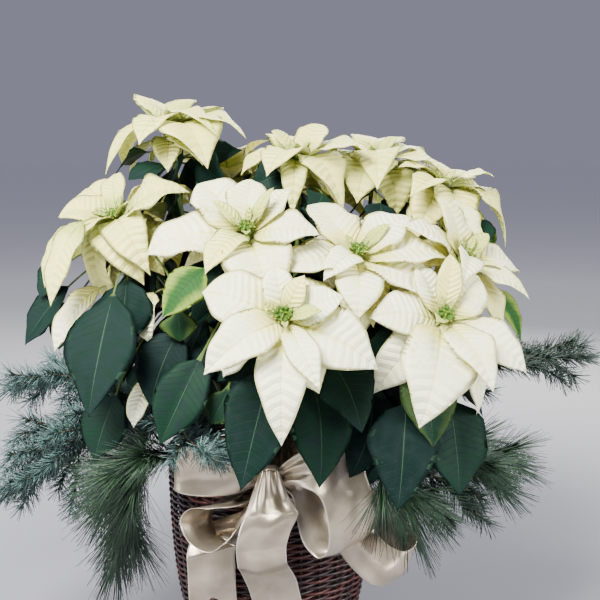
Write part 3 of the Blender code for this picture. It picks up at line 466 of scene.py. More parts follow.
def potting_mix():
    """Peat: dark crumbs, a few paler fibres and specks of perlite."""
    finish = Finish("potting_mix", 0.95)
    crumbs = finish.noise(260, 5)
    specks = finish.ramp(finish.noise(520, 1), 0.70, 0.74)
    dark = finish.mix(crumbs, (0.012, 0.007, 0.004, 1), (0.075, 0.045, 0.026, 1))
    finish.colour(finish.mix(specks, dark, (0.45, 0.43, 0.39, 1)))
    finish.bump(crumbs, 0.002)
    return finish.material


def soil_heap():
    """A turned heap with a crumbly top: rings from the middle outwards, down the side and back under."""
    low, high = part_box("soil")
    radius = (high[0] - low[0]) / 2
    angle = circle(120)[0]
    top = np.linspace(0.002, radius, 40)
    radii = np.concatenate([top, [radius, radius * 0.93, radius * 0.8, 0.002]])
    heights = np.concatenate([SOIL_TOP + 0.004 * (1 - (top / radius) ** 2), [0.20, 0.09, low[2], low[2]]])
    draw = np.random.default_rng(5)
    crumbs = draw.normal(0, 0.0011, (len(radii), len(angle)))
    crumbs += 0.0018 * np.sin(radii[:, None] * 190 + 3 * angle) * np.cos(5 * angle - radii[:, None] * 70)
    crumbs[0] = 0
    crumbs[len(top) - 1:] = 0
    rings = np.stack([radii[:, None] * np.cos(angle), radii[:, None] * np.sin(angle),
                      heights[:, None] + np.minimum(crumbs, 0.002)], axis=-1)
    return [(rings, {})]


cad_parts["liner_pot"].material_slots[0].material = black_plastic()
put_sheets("soil_heap", soil_heap(), potting_mix(), "soil_brown", "soil")


# Stems
#
# Three plants grow in the pot. Each has a short woody trunk, and a green branch to every flower head, which
# thickens a little where a leaf stood.

MM = 0.001
GOLDEN_ANGLE = math.radians(137.5)
TRUNK_RADIUS = 0.007
TRUNK_TOP = 0.300
TRUNK_ROWS = 14
BRANCH_ROWS = 46
STEM_DEPTH = 0.050
BRANCH_RADIUS = 0.0034
COLLAR_RADIUS = 0.0055
COLLAR_LENGTH = 0.026
STRAIGHT_END = 0.006
GAP = 0.3 * MM

# The plants: name, place of the trunk in the soil
PLANTS = {
    "plant_left": (-52, 6),
    "plant_front": (22, -52),
    "plant_back": (38, 52),
}

# Heads: plant, centre of the cyathia, tilt from upright, compass heading of the tilt (0 = +X, 90 = +Y),
# then the bracts: azimuth (0 = right, 90 = up or back, 270 = down or front), length, width, rise in degrees
HEADS = {
    "head_front_low": ("plant_front", (24, -262, 524), 52, -92, [
        (159, 106, 64, -6), (333, 128, 64, -16), (269, 152, 60, -16), (221, 122, 52, -12),
        (194, 122, 46, -27), (293, 106, 38, 2), (281, 116, 40, -30), (15, 74, 44, 6),
        (100, 66, 34, 4), (52, 54, 26, 16), (345, 56, 16, 32)]),
    "head_front_right": ("plant_front", (220, -215, 516), 46, -70, [
        (258, 148, 76, -16), (332, 122, 50, -8), (293, 122, 50, -10), (185, 92, 54, -8),
        (322, 150, 50, -26), (225, 130, 50, -30), (52, 84, 56, 2), (118, 74, 46, 4),
        (275, 108, 40, -34), (88, 80, 28, 14), (234, 48, 16, 32)]),
    "head_centre": ("plant_front", (117, -165, 590), 34, -75, [
        (204, 108, 58, -8), (322, 120, 60, -14), (269, 106, 62, -10), (3, 120, 60, -6),
        (124, 112, 54, -4), (84, 84, 44, 2), (160, 100, 54, -16), (40, 96, 48, -10),
        (235, 84, 44, -22), (37, 54, 16, 24)]),
    "head_centre_left": ("plant_left", (-24, -165, 619), 34, -100, [
        (186, 134, 64, -10), (286, 116, 70, -14), (128, 110, 64, 2), (348, 94, 52, -4),
        (44, 80, 46, 8), (232, 92, 48, -20), (86, 84, 46, -2), (53, 62, 15, 26),
        (150, 54, 18, 30)]),
    "head_left": ("plant_left", (-204, -90, 630), 34, -130, [
        (285, 112, 54, -38), (5, 106, 60, -6), (205, 122, 44, -24), (122, 92, 50, 8),
        (168, 88, 44, -4), (212, 136, 52, -36), (299, 112, 50, -30), (88, 80, 30, 14),
        (330, 44, 16, 24), (45, 84, 44, -14), (245, 70, 34, 12)]),
    "head_top_left": ("plant_left", (-138, 0, 752), 8, -110, [
        (303, 116, 66, -28), (205, 118, 54, -32), (345, 112, 50, -12), (250, 100, 54, -24),
        (60, 110, 60, -10), (105, 114, 60, -14), (150, 110, 58, -14), (322, 100, 40, -38),
        (15, 66, 44, 24), (160, 56, 28, 26)]),
    "head_top_mid": ("plant_front", (41, -20, 709), 8, -90, [
        (320, 108, 58, -42), (195, 86, 48, -18), (350, 100, 50, 2), (240, 90, 50, -26),
        (264, 100, 36, -34), (60, 106, 58, -8), (96, 110, 60, -12), (132, 106, 56, -8),
        (45, 64, 42, 26), (150, 52, 22, 38), (100, 44, 18, 36)]),
    "head_top_right": ("plant_back", (150, 30, 706), 10, -80, [
        (251, 96, 66, -34), (270, 106, 52, -46), (345, 100, 56, -2), (300, 92, 50, -24),
        (38, 104, 58, -8), (80, 108, 60, -12), (122, 104, 56, -10), (190, 66, 40, 14),
        (160, 88, 48, -8), (30, 48, 20, 30)]),
    "head_right_high": ("plant_back", (248, 0, 671), 22, -30, [
        (335, 128, 62, -24), (285, 108, 50, -34), (235, 94, 38, -18), (250, 108, 50, -36),
        (25, 106, 60, -14), (75, 108, 60, -12), (125, 104, 58, -10), (165, 96, 50, -12),
        (345, 70, 42, 26), (195, 76, 38, -4)]),
    "head_right": ("plant_front", (261, -120, 580), 38, -40, [
        (330, 100, 48, 2), (95, 106, 60, 12), (322, 126, 52, -12), (187, 104, 50, -6),
        (264, 116, 46, -16), (130, 88, 50, 6), (20, 108, 54, -10), (60, 102, 50, -6),
        (255, 96, 34, -30), (290, 108, 44, -30), (55, 50, 20, 28)]),
}

# Heads on the side away from the front, whose bracts follow the spiral of the leaves
BACK_HEADS = {
    "head_back_left": ("plant_left", (-225, 75, 590), 46, 158),
    "head_back_left_low": ("plant_left", (-128, 205, 548), 52, 122),
    "head_back_low": ("plant_back", (24, 250, 528), 56, 90),
    "head_back_right_low": ("plant_back", (170, 195, 552), 50, 55),
    "head_back_right": ("plant_back", (272, 100, 590), 46, 14),
    "head_back_top_left": ("plant_left", (-70, 118, 690), 20, 112),
    "head_back_top": ("plant_back", (80, 150, 662), 24, 75),
}
SPIRAL_BRACTS = 8


def head_frame(head):
    """A head's middle, its normal and the two directions of its plane: to the right, and up or back."""
    tilt = math.radians(head[2])
    heading = math.radians(head[3])
    normal = Vector((math.sin(tilt) * math.cos(heading), math.sin(tilt) * math.sin(heading), math.cos(tilt)))
    right = Vector((1, 0, 0)) - normal * normal.x
    right.normalize()
    return Vector(head[1]) * MM, normal, right, normal.cross(right)


def spoke(right, up, angle):
    """A direction in a head's plane, at an angle from its right."""
    return right * math.cos(angle) + up * math.sin(angle)


def spiral_bracts(name):
    """Bracts of a head on the far side: large ones below, small ones above, turned by the golden angle."""
    draw = random.Random(name)
    rows = []
    for i in range(SPIRAL_BRACTS):
        share = i / (SPIRAL_BRACTS - 1)
        length = 124 - 78 * share ** 2 + draw.uniform(-8, 8)
        width = length * (0.52 - 0.14 * share)
        rise = -22 + 46 * share + draw.uniform(-5, 5)
        rows.append((math.degrees(i * GOLDEN_ANGLE) + draw.uniform(-8, 8), length, width, rise))
    return rows


def all_heads():
    """Every head with its bracts, the front ones first."""
    heads = dict(HEADS)
    for name, row in BACK_HEADS.items():
        heads[name] = (*row, spiral_bracts(name))
    return heads


def bezier(points, shares):
    """Points of a Bezier curve: neighbours are mixed by each share again and again, until one is left."""
    t = np.asarray(shares, float)[:, None, None]
    level = np.repeat(np.array([tuple(p) for p in points], float)[None], len(t), axis=0)
    while level.shape[1] > 1:
        level = level[:, :-1] * (1 - t) + level[:, 1:] * t
    return level[:, 0]


def branch_path(head, count):
    """From the trunk up and out to the underside of a head's collar."""
    middle, normal = head_frame(head)[:2]
    x, y = PLANTS[head[0]]
    start = Vector((x * MM, y * MM, TRUNK_TOP - 0.016))
    joint = middle - normal * (COLLAR_LENGTH + GAP)
    end = joint - normal * STRAIGHT_END
    reach = (end - start).length
    lean = Vector((end.x - start.x, end.y - start.y, 0)) * 0.15
    rising = start + lean + Vector((0, 0, reach * 0.35))
    curve = bezier((start, rising, end - normal * reach * 0.42, end), np.linspace(0, 1, count - 1))
    return np.vstack([curve, tuple(joint)])


def stem_rings(heads, plant):
    """Trunk and branches as round tubes; a branch's radius is r * (1.25 - 0.4 s), more at its leaf scars."""
    x, y = PLANTS[plant]
    height = np.linspace(SOIL_TOP - STEM_DEPTH, TRUNK_TOP + 0.004, TRUNK_ROWS)
    trunk = np.stack([np.full_like(height, x * MM), np.full_like(height, y * MM), height], axis=1)
    trunk[:, :2] += 0.0008 * np.stack([np.sin(height * 90), np.cos(height * 70)], axis=1)
    across, upward = path_frame(trunk)
    radius = np.linspace(TRUNK_RADIUS, TRUNK_RADIUS * 0.82, TRUNK_ROWS)
    radius[-1] *= 0.5
    sheets = [(ring_of(trunk, across, upward, radius, radius, 12), {"woody": 1.0})]
    for name, head in heads.items():
        if head[0] != plant:
            continue
        path = branch_path(head, BRANCH_ROWS)
        across, upward = path_frame(path)
        share = np.linspace(0, 1, len(path))
        scars = np.exp(-((share * 9 + len(name)) % 1 - 0.5) ** 2 / 0.01)
        radius = BRANCH_RADIUS * (1.25 - 0.4 * share) * (1 + 0.16 * scars)
        rings = ring_of(path, across, upward, radius, radius, 10)
        sheets.append((rings, {"woody": (1 - share * 2.2)[:, None]}))
    return sheets


def green_stem():
    """Smooth green bark that turns grey-brown near the soil."""
    finish = Finish("green_stem", 0.45)
    woody = finish.ramp(finish.sum("ADD", finish.mark("woody"), finish.noise(120, 3)), 0.7, 1.4)
    green = finish.mix(finish.noise(90, 2), (0.09, 0.17, 0.035, 1), (0.16, 0.25, 0.06, 1))
    finish.colour(finish.mix(woody, green, (0.16, 0.11, 0.06, 1)))
    finish.bump(finish.noise(500, 3), 0.0004)
    return finish.material


ALL_HEADS = all_heads()
STEM_FINISH = green_stem()
for plant_name in PLANTS:
    put_sheets(plant_name + "_stems", stem_rings(ALL_HEADS, plant_name), STEM_FINISH, "leaf_green",
               plant_name)


# Flower heads
#
# What looks like petals are bracts: coloured leaves of cream-white, greenish at their bases, with a pale
# midrib and side veins between which the blade is puckered. The oldest and largest are lowest on the collar.

BRACT_STALK = 0.10
STALK_RADIUS = 0.0015
SHEET_HALF_THICKNESS = 0.00022
BRACT_CUP = 0.12
BRACT_VEINS = 11
SMALL_BRACT_VEINS = 8
VEIN_LEAN = 0.26
VEIN_CURVE = 1.3
BRACT_SHOULDER = 0.82
BRACT_FULL = 1.2
# A bract longer than this, in millimetres, has waved edges and more rows, and most of them on a front head
LARGE_BRACT = 68
BRACT_ROWS = (20, 28, 40)
BRACT_COLUMNS = 11
# The oldest heads have the broadest bracts, which arch over like hoods: share of the solid's width and arch
OLD_HEADS = {
    "head_top_left": (1.46, 1.45),
    "head_left": (1.46, 1.35),
    "head_top_mid": (1.36, 1.45),
    "head_top_right": (1.36, 1.45),
    "head_right_high": (1.36, 1.35),
}
# Forms that a bract tries, until it is clear of those before it: share of its full width, how free it is
BRACT_FORMS = ((1.0, 1.0), (1.0, 0.4), (0.93, 0.4), (0.88, 0.0), (0.83, 0.0))


def tried_turns():
    """Small changes to a blade's direction and size, the least first, as (yaw, lift, size)."""
    changes = []
    for yaw in (0, 5, -5, 10, -10, 16, -16, 24, -24):
        for lift in (0, 4, -4, 8, -8, 14, -14, 22, -22, 32, -32):
            for size in (1.0, 0.9, 0.8, 0.68):
                cost = abs(yaw) / 6 + abs(lift) / 5 + (1 - size) * 14
                changes.append((cost, yaw, lift, size))
    return [change[1:] for change in sorted(changes)]


TURNS = tried_turns()


def blade_base(spine, facing, stalk, cup):
    """The middle of a blade's root, and the axes about which the solid's blade was turned clear."""
    first, second = (Vector(p) for p in bezier(spine, (0, 0.02)))
    along = (second - first).normalized()
    side = along.cross(facing).normalized()
    root = first + side.cross(along) * (cup * stalk / 2)
    tip = Vector(spine[-1])
    reach = (tip - root).normalized()
    side = reach.cross(facing).normalized()
    return root, tip, side, side.cross(reach)


def turned(base, yaw, lift, size):
    """The change that turns a blade about its root, in degrees, and scales it."""
    root, tip, side, up = base
    turn = Matrix.Rotation(math.radians(yaw), 4, up) @ Matrix.Rotation(math.radians(lift), 4, side)
    return Matrix.Translation(root) @ turn @ Matrix.Scale(size, 4) @ Matrix.Translation(-root)


def settled(node, *blade):
    """The turn that the solid's blade has: the first whose tip is a corner of the solid, or None."""
    base = blade_base(*blade)
    changes = [turned(base, *turn) for turn in TURNS]
    tips = np.array([tuple(change @ base[1]) for change in changes])
    apart = np.linalg.norm(tips[:, None] - CORNERS[node][None], axis=2).min(axis=1)
    found = np.flatnonzero(apart < 0.00005)
    return changes[found[0]] if len(found) else None


def corners_of(node):
    """The points of a CAD node, as rows."""
    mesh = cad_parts[node].data
    rows = np.empty(len(mesh.vertices) * 3, dtype=np.float32)
    mesh.vertices.foreach_get("co", rows)
    return rows.reshape(-1, 3)


CORNERS = {node: corners_of(node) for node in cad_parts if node.startswith(("head", "plant"))}


def outline(share, petiole, shoulder):
    """Half-width of a blade, 0 to 1: sin(180 degrees * u^shoulder)^(0.62 + 0.45 u).

    Here u is the share past the stalk. The blade is widest where u^shoulder is a half, and its tip is drawn
    out to a point.
    """
    u = np.clip((share - petiole) / (1 - petiole), 0, 1)
    return np.clip(np.sin(np.pi * u ** shoulder), 0, 1) ** (0.62 + 0.45 * u)


def blade_rings(spine, facing, width, petiole, stalk, cup, wave, veins, rows, columns, draw, shoulder,
                free=1.0, lobe=0.0):
    """Closed thin blade on its spine: across at t from -1 to 1, first over the top and then back below.

    With w the half-width: height = cup * w * |t| * (2 - |t|), plus the edges' waves, which run the other way
    on the other side, plus a ruffle of t^4 at the edges and a pucker of sin^2 between the side veins, which
    fades out at the midrib, the edges, the stalk and the tip. The thickness follows sqrt(1 - t^2), with a rib
    below the middle. Free scales how far the cup and the twist are drawn from the plain form, and lobe is how
    far an angular shoulder stands out at a third of the blade.
    """
    x = np.linspace(0, 1, rows)
    share = 0.55 * x + 0.45 * (0.5 - 0.5 * np.cos(np.pi * x))
    here = bezier(spine, share)
    along = unit(bezier(spine, np.minimum(1, share + 0.02)) - bezier(spine, np.maximum(0, share - 0.02)))
    side = unit(np.cross(along, np.array(facing)))
    up = np.cross(side, along)
    blade_share = np.clip((share - petiole) / (1 - petiole), 0, 1)
    uneven = 1 + 0.045 * np.sin(blade_share * draw.uniform(9, 15) + draw.uniform(0, 6))
    uneven = uneven + lobe * np.clip(1 - np.abs(blade_share - 0.36) / 0.16, 0, 1)
    half = np.maximum(width / 2 * outline(share, petiole, shoulder) * uneven, 0.0002)
    half = np.maximum(half, np.where(share < petiole * 1.3, stalk, 0))
    top = np.linspace(-1, 1, columns)
    t = np.concatenate([top, top[-2:0:-1]])[None, :]
    face = np.concatenate([np.ones(columns), -np.ones(columns - 2)])[None, :]
    face = np.where(np.abs(t) > 0.999, 0, face)
    half_column = half[:, None]
    u = blade_share[:, None]
    is_blade = np.clip((share - petiole * 0.6) / (petiole * 0.9), 0, 1)[:, None]
    phase = (u - VEIN_LEAN * np.abs(t) ** VEIN_CURVE * (1 - u)) * veins
    envelope = np.clip(np.abs(t) * 3, 0, 1) * (1 - t ** 2) * np.clip(u * 2.5, 0, 1) * (1 - u ** 3)
    pucker = 0.015 * width * np.sin(np.pi * phase) ** 2 * envelope
    edge = wave * half_column * np.sin(2 * np.pi * (share[:, None] - 0.415) / 0.54)
    ruffle = 0.05 * half_column * np.sin(u * draw.uniform(16, 24) + draw.uniform(0, 6) + np.sign(t)) * t ** 4
    bend = cup * (1 + free * draw.uniform(-1.0, 0.9))
    twist = free * draw.uniform(-0.30, 0.30) * u * t * half_column
    height = bend * half_column * np.abs(t) * (2 - np.abs(t)) - edge * t ** 3
    height = height + ruffle + twist + pucker * is_blade
    rib = np.exp(-(t * half_column / 0.0016) ** 2)
    round_part = np.sqrt(np.clip(1 - t ** 2, 0, 1))
    sheet = SHEET_HALF_THICKNESS * (0.4 + 0.6 * round_part)
    sheet = sheet + np.where(face < 0, 0.0009 * rib * (1 - u) ** 0.6, -0.00012 * rib)
    thickness = (1 - is_blade) * stalk * 0.75 * round_part + is_blade * sheet
    points = here[:, None, :] + side[:, None, :] * (t * half_column)[..., None]
    points = points + up[:, None, :] * (height + face * thickness)[..., None]
    marks = {"across": np.abs(t) + 0 * u, "along": u + 0 * t, "under": np.where(face < 0, 1.0, 0.0) + 0 * u}
    return points, marks


def squeezed_in(points, marks, blade, columns, skipped):
    """A blade with no room among the solids: its sheet takes the first turn in which it is clear, or None."""
    base = blade_base(*blade)
    for turn in TURNS:
        placed = moved(points, turned(base, *turn))
        sheet, tree = coarse_sheet(placed, columns, skipped)
        if is_clear(tree):
            keep(sheet, tree)
            return placed, marks
    return None


def fitted(make, forms, change, blade, columns, skipped):
    """A blade moved to where the solid has it, in the first of its forms that is clear of those before it.

    A blade that the solid hasn't got, with None for its change, is squeezed in.
    """
    for share, free in forms:
        points, marks = make(share, free)
        if change is None:
            return squeezed_in(points, marks, blade, columns, skipped)
        points = moved(points, change)
        sheet, tree = coarse_sheet(points, columns, skipped)
        if not meets_blade(tree):
            break
    keep(sheet, tree)
    return points, marks


def moved(points, change):
    """Points turned, scaled and moved by a 4 x 4 matrix."""
    return points @ np.array(change.to_3x3()).T + np.array(change.translation)


def bract_ends(head, azimuth, depth, length, rise):
    """Root and tip of a bract that leaves the collar at a depth below its top."""
    middle, normal, right, up = head_frame(head)
    outward = spoke(right, up, math.radians(azimuth))
    root = middle - normal * depth + outward * COLLAR_RADIUS * 0.4
    lift = math.radians(rise)
    return root, middle + (outward * math.cos(lift) + normal * math.sin(lift)) * length * MM


def arched(root, tip, normal, arch):
    """The spine of a bract, which rises from its root and arches over to its tip."""
    return root, root.lerp(tip, 0.25) + normal * arch * 0.9, root.lerp(tip, 0.72) + normal * arch, tip


def bract_rings(name, head, index, look):
    """One bract: its root sits on the collar, lower for the large ones, and its spine arches over."""
    azimuth, length, width, rise = head[4][index]
    normal = head_frame(head)[1]
    root, tip = bract_ends(head, azimuth, 0.021 - 0.011 * index / len(head[4]), length, rise)
    arch = length * MM * (0.20 + 0.12 * max(0, -rise) / 30)
    full, hood = OLD_HEADS.get(name, (BRACT_FULL, 1.0))
    change = settled(name, arched(root, tip, normal, arch), normal, STALK_RADIUS, BRACT_CUP)
    blade = (arched(root, tip, normal, arch * hood), normal, STALK_RADIUS, BRACT_CUP)
    large = length > LARGE_BRACT
    in_front = name in AGE
    veins = BRACT_VEINS if large and in_front else SMALL_BRACT_VEINS
    rows = BRACT_ROWS[0 if not large else 2 if in_front else 1]
    wave = 0.10 if large else 0.0

    def make(share, free):
        draw = random.Random(name + str(index))
        points, marks = blade_rings(blade[0], normal, width * full * share * MM, BRACT_STALK, STALK_RADIUS,
                                    BRACT_CUP, wave, veins, rows, BRACT_COLUMNS, draw, BRACT_SHOULDER, free)
        marks.update(green=look(index, length, draw), veins=veins)
        return points, marks

    return fitted(make, BRACT_FORMS, change, blade, BRACT_COLUMNS, 10 if large and in_front else 7)


# How yellow-green a head is as a whole, from 0 for fresh white, and its greener bracts by number
AGE = {
    "head_front_low": (0.07, {6: 0.45, 9: 0.5, 10: 0.9}),
    "head_front_right": (0.07, {8: 0.8, 9: 0.4, 10: 0.9}),
    "head_centre": (0.10, {9: 0.9}),
    "head_centre_left": (0.12, {5: 0.5, 7: 0.8, 8: 0.8}),
    "head_left": (0.52, {7: 0.6, 8: 0.9, 10: 0.5}),
    "head_top_left": (0.62, {8: 0.3, 9: 0.6}),
    "head_top_mid": (0.55, {4: 0.7, 9: 0.7, 10: 0.8}),
    "head_top_right": (0.60, {9: 0.7}),
    "head_right_high": (0.50, {0: 0.55, 8: 0.4}),
    "head_right": (0.16, {2: 0.35, 10: 0.8}),
}
# The same for a head on the far side
PLAIN_AGE = (0.24, {})


def bract_green(name):
    """The greenness of each bract of a head."""
    base, single = AGE.get(name, PLAIN_AGE)

    def look(index, length, draw):
        small = 0.25 if length < 60 else 0.0
        return single.get(index, base + small) + draw.uniform(-0.04, 0.06)

    return look


def young_bracts(name, head):
    """Small green bracts that still stand up round the middle."""
    middle, normal, right, up = head_frame(head)
    sheets = []
    draw = random.Random(name + "young")
    for i in range(5):
        angle = i * GOLDEN_ANGLE + draw.uniform(-0.4, 0.4)
        outward = spoke(right, up, angle)
        length = draw.uniform(0.018, 0.032)
        lift = math.radians(draw.uniform(30, 58))
        root = middle - normal * 0.004 + outward * COLLAR_RADIUS * 0.7
        tip = root + (outward * math.cos(lift) + normal * math.sin(lift)) * length
        spine = (root, root.lerp(tip, 0.3) + normal * 0.002, root.lerp(tip, 0.7) + normal * 0.002, tip)
        points, marks = blade_rings(spine, normal, length * 0.36, 0.06, 0.0009, 0.3, 0.0, 5, 9, 5, draw, 0.85)
        marks.update(green=draw.uniform(0.7, 1.25), veins=5)
        sheets.append((points, marks))
    return sheets


def collar_rings(head):
    """The collar: the green end of the stem that the bracts stand on, widest at the top."""
    middle, normal = head_frame(head)[:2]
    share = np.linspace(0, 1, 7)
    path = np.array(middle)[None] - np.outer((1 - share) * COLLAR_LENGTH, np.array(normal))
    across, upward = path_frame(path)
    radius = COLLAR_RADIUS * (0.66 + 0.34 * share ** 2)
    rings = ring_of(path, across, upward, radius, radius, 12)
    return rings, {"across": 0.5, "along": 0, "under": 1, "green": 1.3, "veins": 1}


def vein_phase(finish, along, across, veins):
    """Counts the side veins, which lean forwards: (u - lean * across^curve * (1 - u)) * veins."""
    lean = finish.sum("MULTIPLY", finish.sum("POWER", across, VEIN_CURVE), finish.sum("SUBTRACT", 1.0, along))
    place = finish.sum("SUBTRACT", along, finish.sum("MULTIPLY", lean, VEIN_LEAN))
    return finish.sum("MULTIPLY", place, veins)


def cream_bract():
    """Cream-white, greener at base, midrib and edges, pleated between its veins and slightly translucent."""
    finish = Finish("cream_bract", 0.50)
    along = finish.mark("along")
    across = finish.mark("across")
    phase = finish.total(vein_phase(finish, along, across, finish.mark("veins")), (finish.noise(60, 2), 0.5))
    from_vein = finish.sum("PINGPONG", phase, 0.5)
    side_vein = finish.ramp(from_vein, 0.26, 0.0)
    pleat = finish.sum("MULTIPLY", finish.ramp(from_vein, 0.0, 0.5), finish.ramp(across, 0.95, 0.70))
    fine_vein = finish.ramp(finish.sum("PINGPONG", finish.sum("MULTIPLY", phase, 3.0), 0.5), 0.42, 0.0)
    midrib = finish.ramp(across, 0.075, 0.01)
    base = finish.ramp(along, 0.42, 0.0)
    edge = finish.ramp(across, 0.84, 1.0)
    patches = finish.sum("SUBTRACT", finish.noise(45, 3), 0.5)
    # The undersides' share is partly their own greener colour and partly painted shade, the ochre-olive of
    # shaded undersides.
    amount = finish.total(finish.mark("green"), (base, 0.50), (side_vein, 0.015), (midrib, 0.12),
                          (finish.sum("MULTIPLY", midrib, base), 0.7), (finish.mark("under"), 0.42),
                          (edge, 0.24), (patches, 0.40))
    white_to_cream = finish.mix(finish.ramp(amount, 0.0, 0.45), (0.93, 0.925, 0.60, 1), (0.83, 0.77, 0.22, 1))
    with_green = finish.mix(finish.ramp(amount, 0.45, 1.0), white_to_cream, (0.44, 0.50, 0.09, 1))
    finish.colour(finish.mix(finish.ramp(amount, 1.0, 1.5), with_green, (0.16, 0.26, 0.04, 1)))
    finish.bump(finish.total((pleat, 1.4), (fine_vein, -0.25), (side_vein, -0.15), (midrib, -0.8),
                             (finish.noise(700, 2), 0.35)), 0.0008)
    finish.shader.inputs["Subsurface Weight"].default_value = 0.18
    finish.shader.inputs["Subsurface Radius"].default_value = (0.006, 0.005, 0.003)
    finish.shader.inputs["Subsurface Scale"].default_value = 1.0
    finish.shader.inputs["Sheen Weight"].default_value = 0.08
    return finish.material


# Steep bracts below the others: how many a head has, and the rise and length of each of their tries
UNDER_BRACTS = 7
UNDER_TRIES = ((-42, 112), (-54, 108), (-30, 102), (-64, 98), (-46, 84), (-58, 74))


def solid_tree(left_out):
    """The CAD solids as one search tree, but for those left out."""
    return sheet_tree(*(solid for node, solid in SOLID_FACES.items() if node not in left_out))


def faces_of(node):
    """The points and the triangles of a CAD node."""
    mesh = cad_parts[node].data
    mesh.calc_loop_triangles()
    triangles = np.empty(len(mesh.loop_triangles) * 3, dtype=np.int32)
    mesh.loop_triangles.foreach_get("vertices", triangles)
    return corners_of(node), triangles.reshape(-1, 3)


def coarse_sheet(points, columns, skipped):
    """A blade's upper side on a coarse grid, without its stalk, as (corners, faces), and its search tree."""
    sheet = points[skipped::3, 0:columns:2]
    rows, wide = sheet.shape[:2]
    index = np.arange(rows * wide).reshape(rows, wide)
    faces = np.stack([index[:-1, :-1], index[:-1, 1:], index[1:, 1:], index[1:, :-1]], axis=-1).reshape(-1, 4)
    sheet = (sheet.reshape(-1, 3), faces)
    return sheet, sheet_tree(sheet)


def sheet_tree(*sheets):
    """One search tree of one or more coarse sheets."""
    firsts = np.cumsum([0] + [len(points) for points, faces in sheets])
    points = np.concatenate([points for points, faces in sheets])
    faces = np.concatenate([faces + first for (_, faces), first in zip(sheets, firsts)])
    return BVHTree.FromPolygons(points.tolist(), faces.tolist())


def keep(sheet, tree):
    """Add a blade to those that the later ones have to clear."""
    grown.append(tree)
    grown_sheets.append(sheet)


def meets_blade(tree):
    """True where a blade meets one that was kept before it."""
    return any(tree.overlap(other) for other in grown)


def is_clear(tree):
    """True where a blade meets no solid and no blade that was kept before it."""
    return not (tree.overlap(SOLIDS) or meets_blade(tree))


def under_bracts(name, head):
    """Bracts below the others, which hang steeply and close the dome; each takes the first clear try."""
    normal = head_frame(head)[1]
    sheets = []
    for i in range(UNDER_BRACTS):
        draw_name = name + "under" + str(i)
        start = 360 * i / UNDER_BRACTS + random.Random(draw_name).uniform(-12, 12)
        tries = [(start + shift, rise, length) for rise, length in UNDER_TRIES for shift in (0, 15, -15)]
        for azimuth, rise, length in tries:
            root, tip = bract_ends(head, azimuth, 0.023, length, rise)
            draw = random.Random(draw_name)
            spine = arched(root, tip, normal, length * MM * 0.26)
            points, marks = blade_rings(spine, normal, length * 0.60 * MM, BRACT_STALK, STALK_RADIUS,
                                        BRACT_CUP, 0.08, BRACT_VEINS, 20, 9, draw, BRACT_SHOULDER)
            sheet, tree = coarse_sheet(points, 9, 7)
            if is_clear(tree):
                keep(sheet, tree)
                green = min(0.5, AGE.get(name, PLAIN_AGE)[0] + 0.10) + draw.uniform(-0.04, 0.08)
                marks.update(green=green, veins=BRACT_VEINS)
                sheets.append((points, marks))
                break
    return sheets


SOLID_FACES = {node: faces_of(node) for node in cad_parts}
SOLIDS = solid_tree(())
grown = []
grown_sheets = []
BRACT_FINISH = cream_bract()
for head_name, head_row in ALL_HEADS.items():
    head_sheets = [collar_rings(head_row)]
    for number in range(len(head_row[4])):
        made = bract_rings(head_name, head_row, number, bract_green(head_name))
        if made is not None:
            head_sheets.append(made)
    head_sheets += young_bracts(head_name, head_row)
    head_sheets += under_bracts(head_name, head_row)
    put_sheets(head_name + "_bracts", head_sheets, BRACT_FINISH, "cream_bract", head_name)


# Low bracts
#
# A few pale bracts hang singly on the left, from short side shoots of the same plant: three among the leaves,
# and two just below the outermost head.

# Low bracts: base, tip, width, how green
LOW_BRACTS = [
    ((-157, -136, 527), (-147, -158, 466), 48, 0.10),
    ((-234, -104, 530), (-281, -128, 451), 50, 0.16),
    ((-152, -168, 417), (-168, -188, 365), 38, 0.05),
    ((-245, -110, 622), (-273, -135, 518), 62, 0.50),
    ((-270, -86, 612), (-294, -104, 534), 46, 0.60),
]
# Where the place is taken, a low bract moves forwards or back by this much
LOW_SHIFTS = (0, -10, -20, -32, 12)


def low_bract_sheets():
    """Each bract hangs from a thin stalk that comes from behind it, and curves down to its tip."""
    sheets = []
    for number, (low_base, low_tip, width, green) in enumerate(LOW_BRACTS):
        for shift in LOW_SHIFTS:
            base = (Vector(low_base) + Vector((0, shift, 0))) * MM
            tip = (Vector(low_tip) + Vector((0, shift, 0))) * MM
            outward = Vector((base.x, base.y, 0)).normalized()
            facing = (outward + Vector((0, -0.5, 0.4))).normalized()
            rise = Vector((0, 0, 0.006))
            root = base - outward * 0.030 + rise
            spine = (root, base + outward * 0.006 + rise, base.lerp(tip, 0.5) + outward * 0.012, tip)
            draw = random.Random("low" + str(number))
            points, marks = blade_rings(spine, facing, width * MM, 0.20, STALK_RADIUS, BRACT_CUP, 0.10,
                                        BRACT_VEINS, 36, BRACT_COLUMNS, draw, BRACT_SHOULDER)
            sheet, tree = coarse_sheet(points, BRACT_COLUMNS, 9)
            if is_clear(tree):
                break
        marks.update(green=green, veins=BRACT_VEINS)
        keep(sheet, tree)
        sheets.append((points, marks))
    return sheets


put_sheets("low_bracts", low_bract_sheets(), BRACT_FINISH, "cream_bract", "head_left")


# Cyathia
#
# The true flowers: a cluster of small green cups in the middle of each head, each on a short stalk, with a
# yellow gland on its side and a tuft of yellow stamens in its mouth.

CUP_RADIUS = 0.0022
CUP_HEIGHT = 0.0056


def turned_rings(foot, axis, across, upward, heights, radii, sides):
    """Level rings up an axis, as if turned on a lathe."""
    centres = np.array(foot)[None] + np.outer(heights, np.array(axis))
    wide = np.broadcast_to(np.array(across), centres.shape)
    tall = np.broadcast_to(np.array(upward), centres.shape)
    return ring_of(centres, wide, tall, radii, radii, sides)


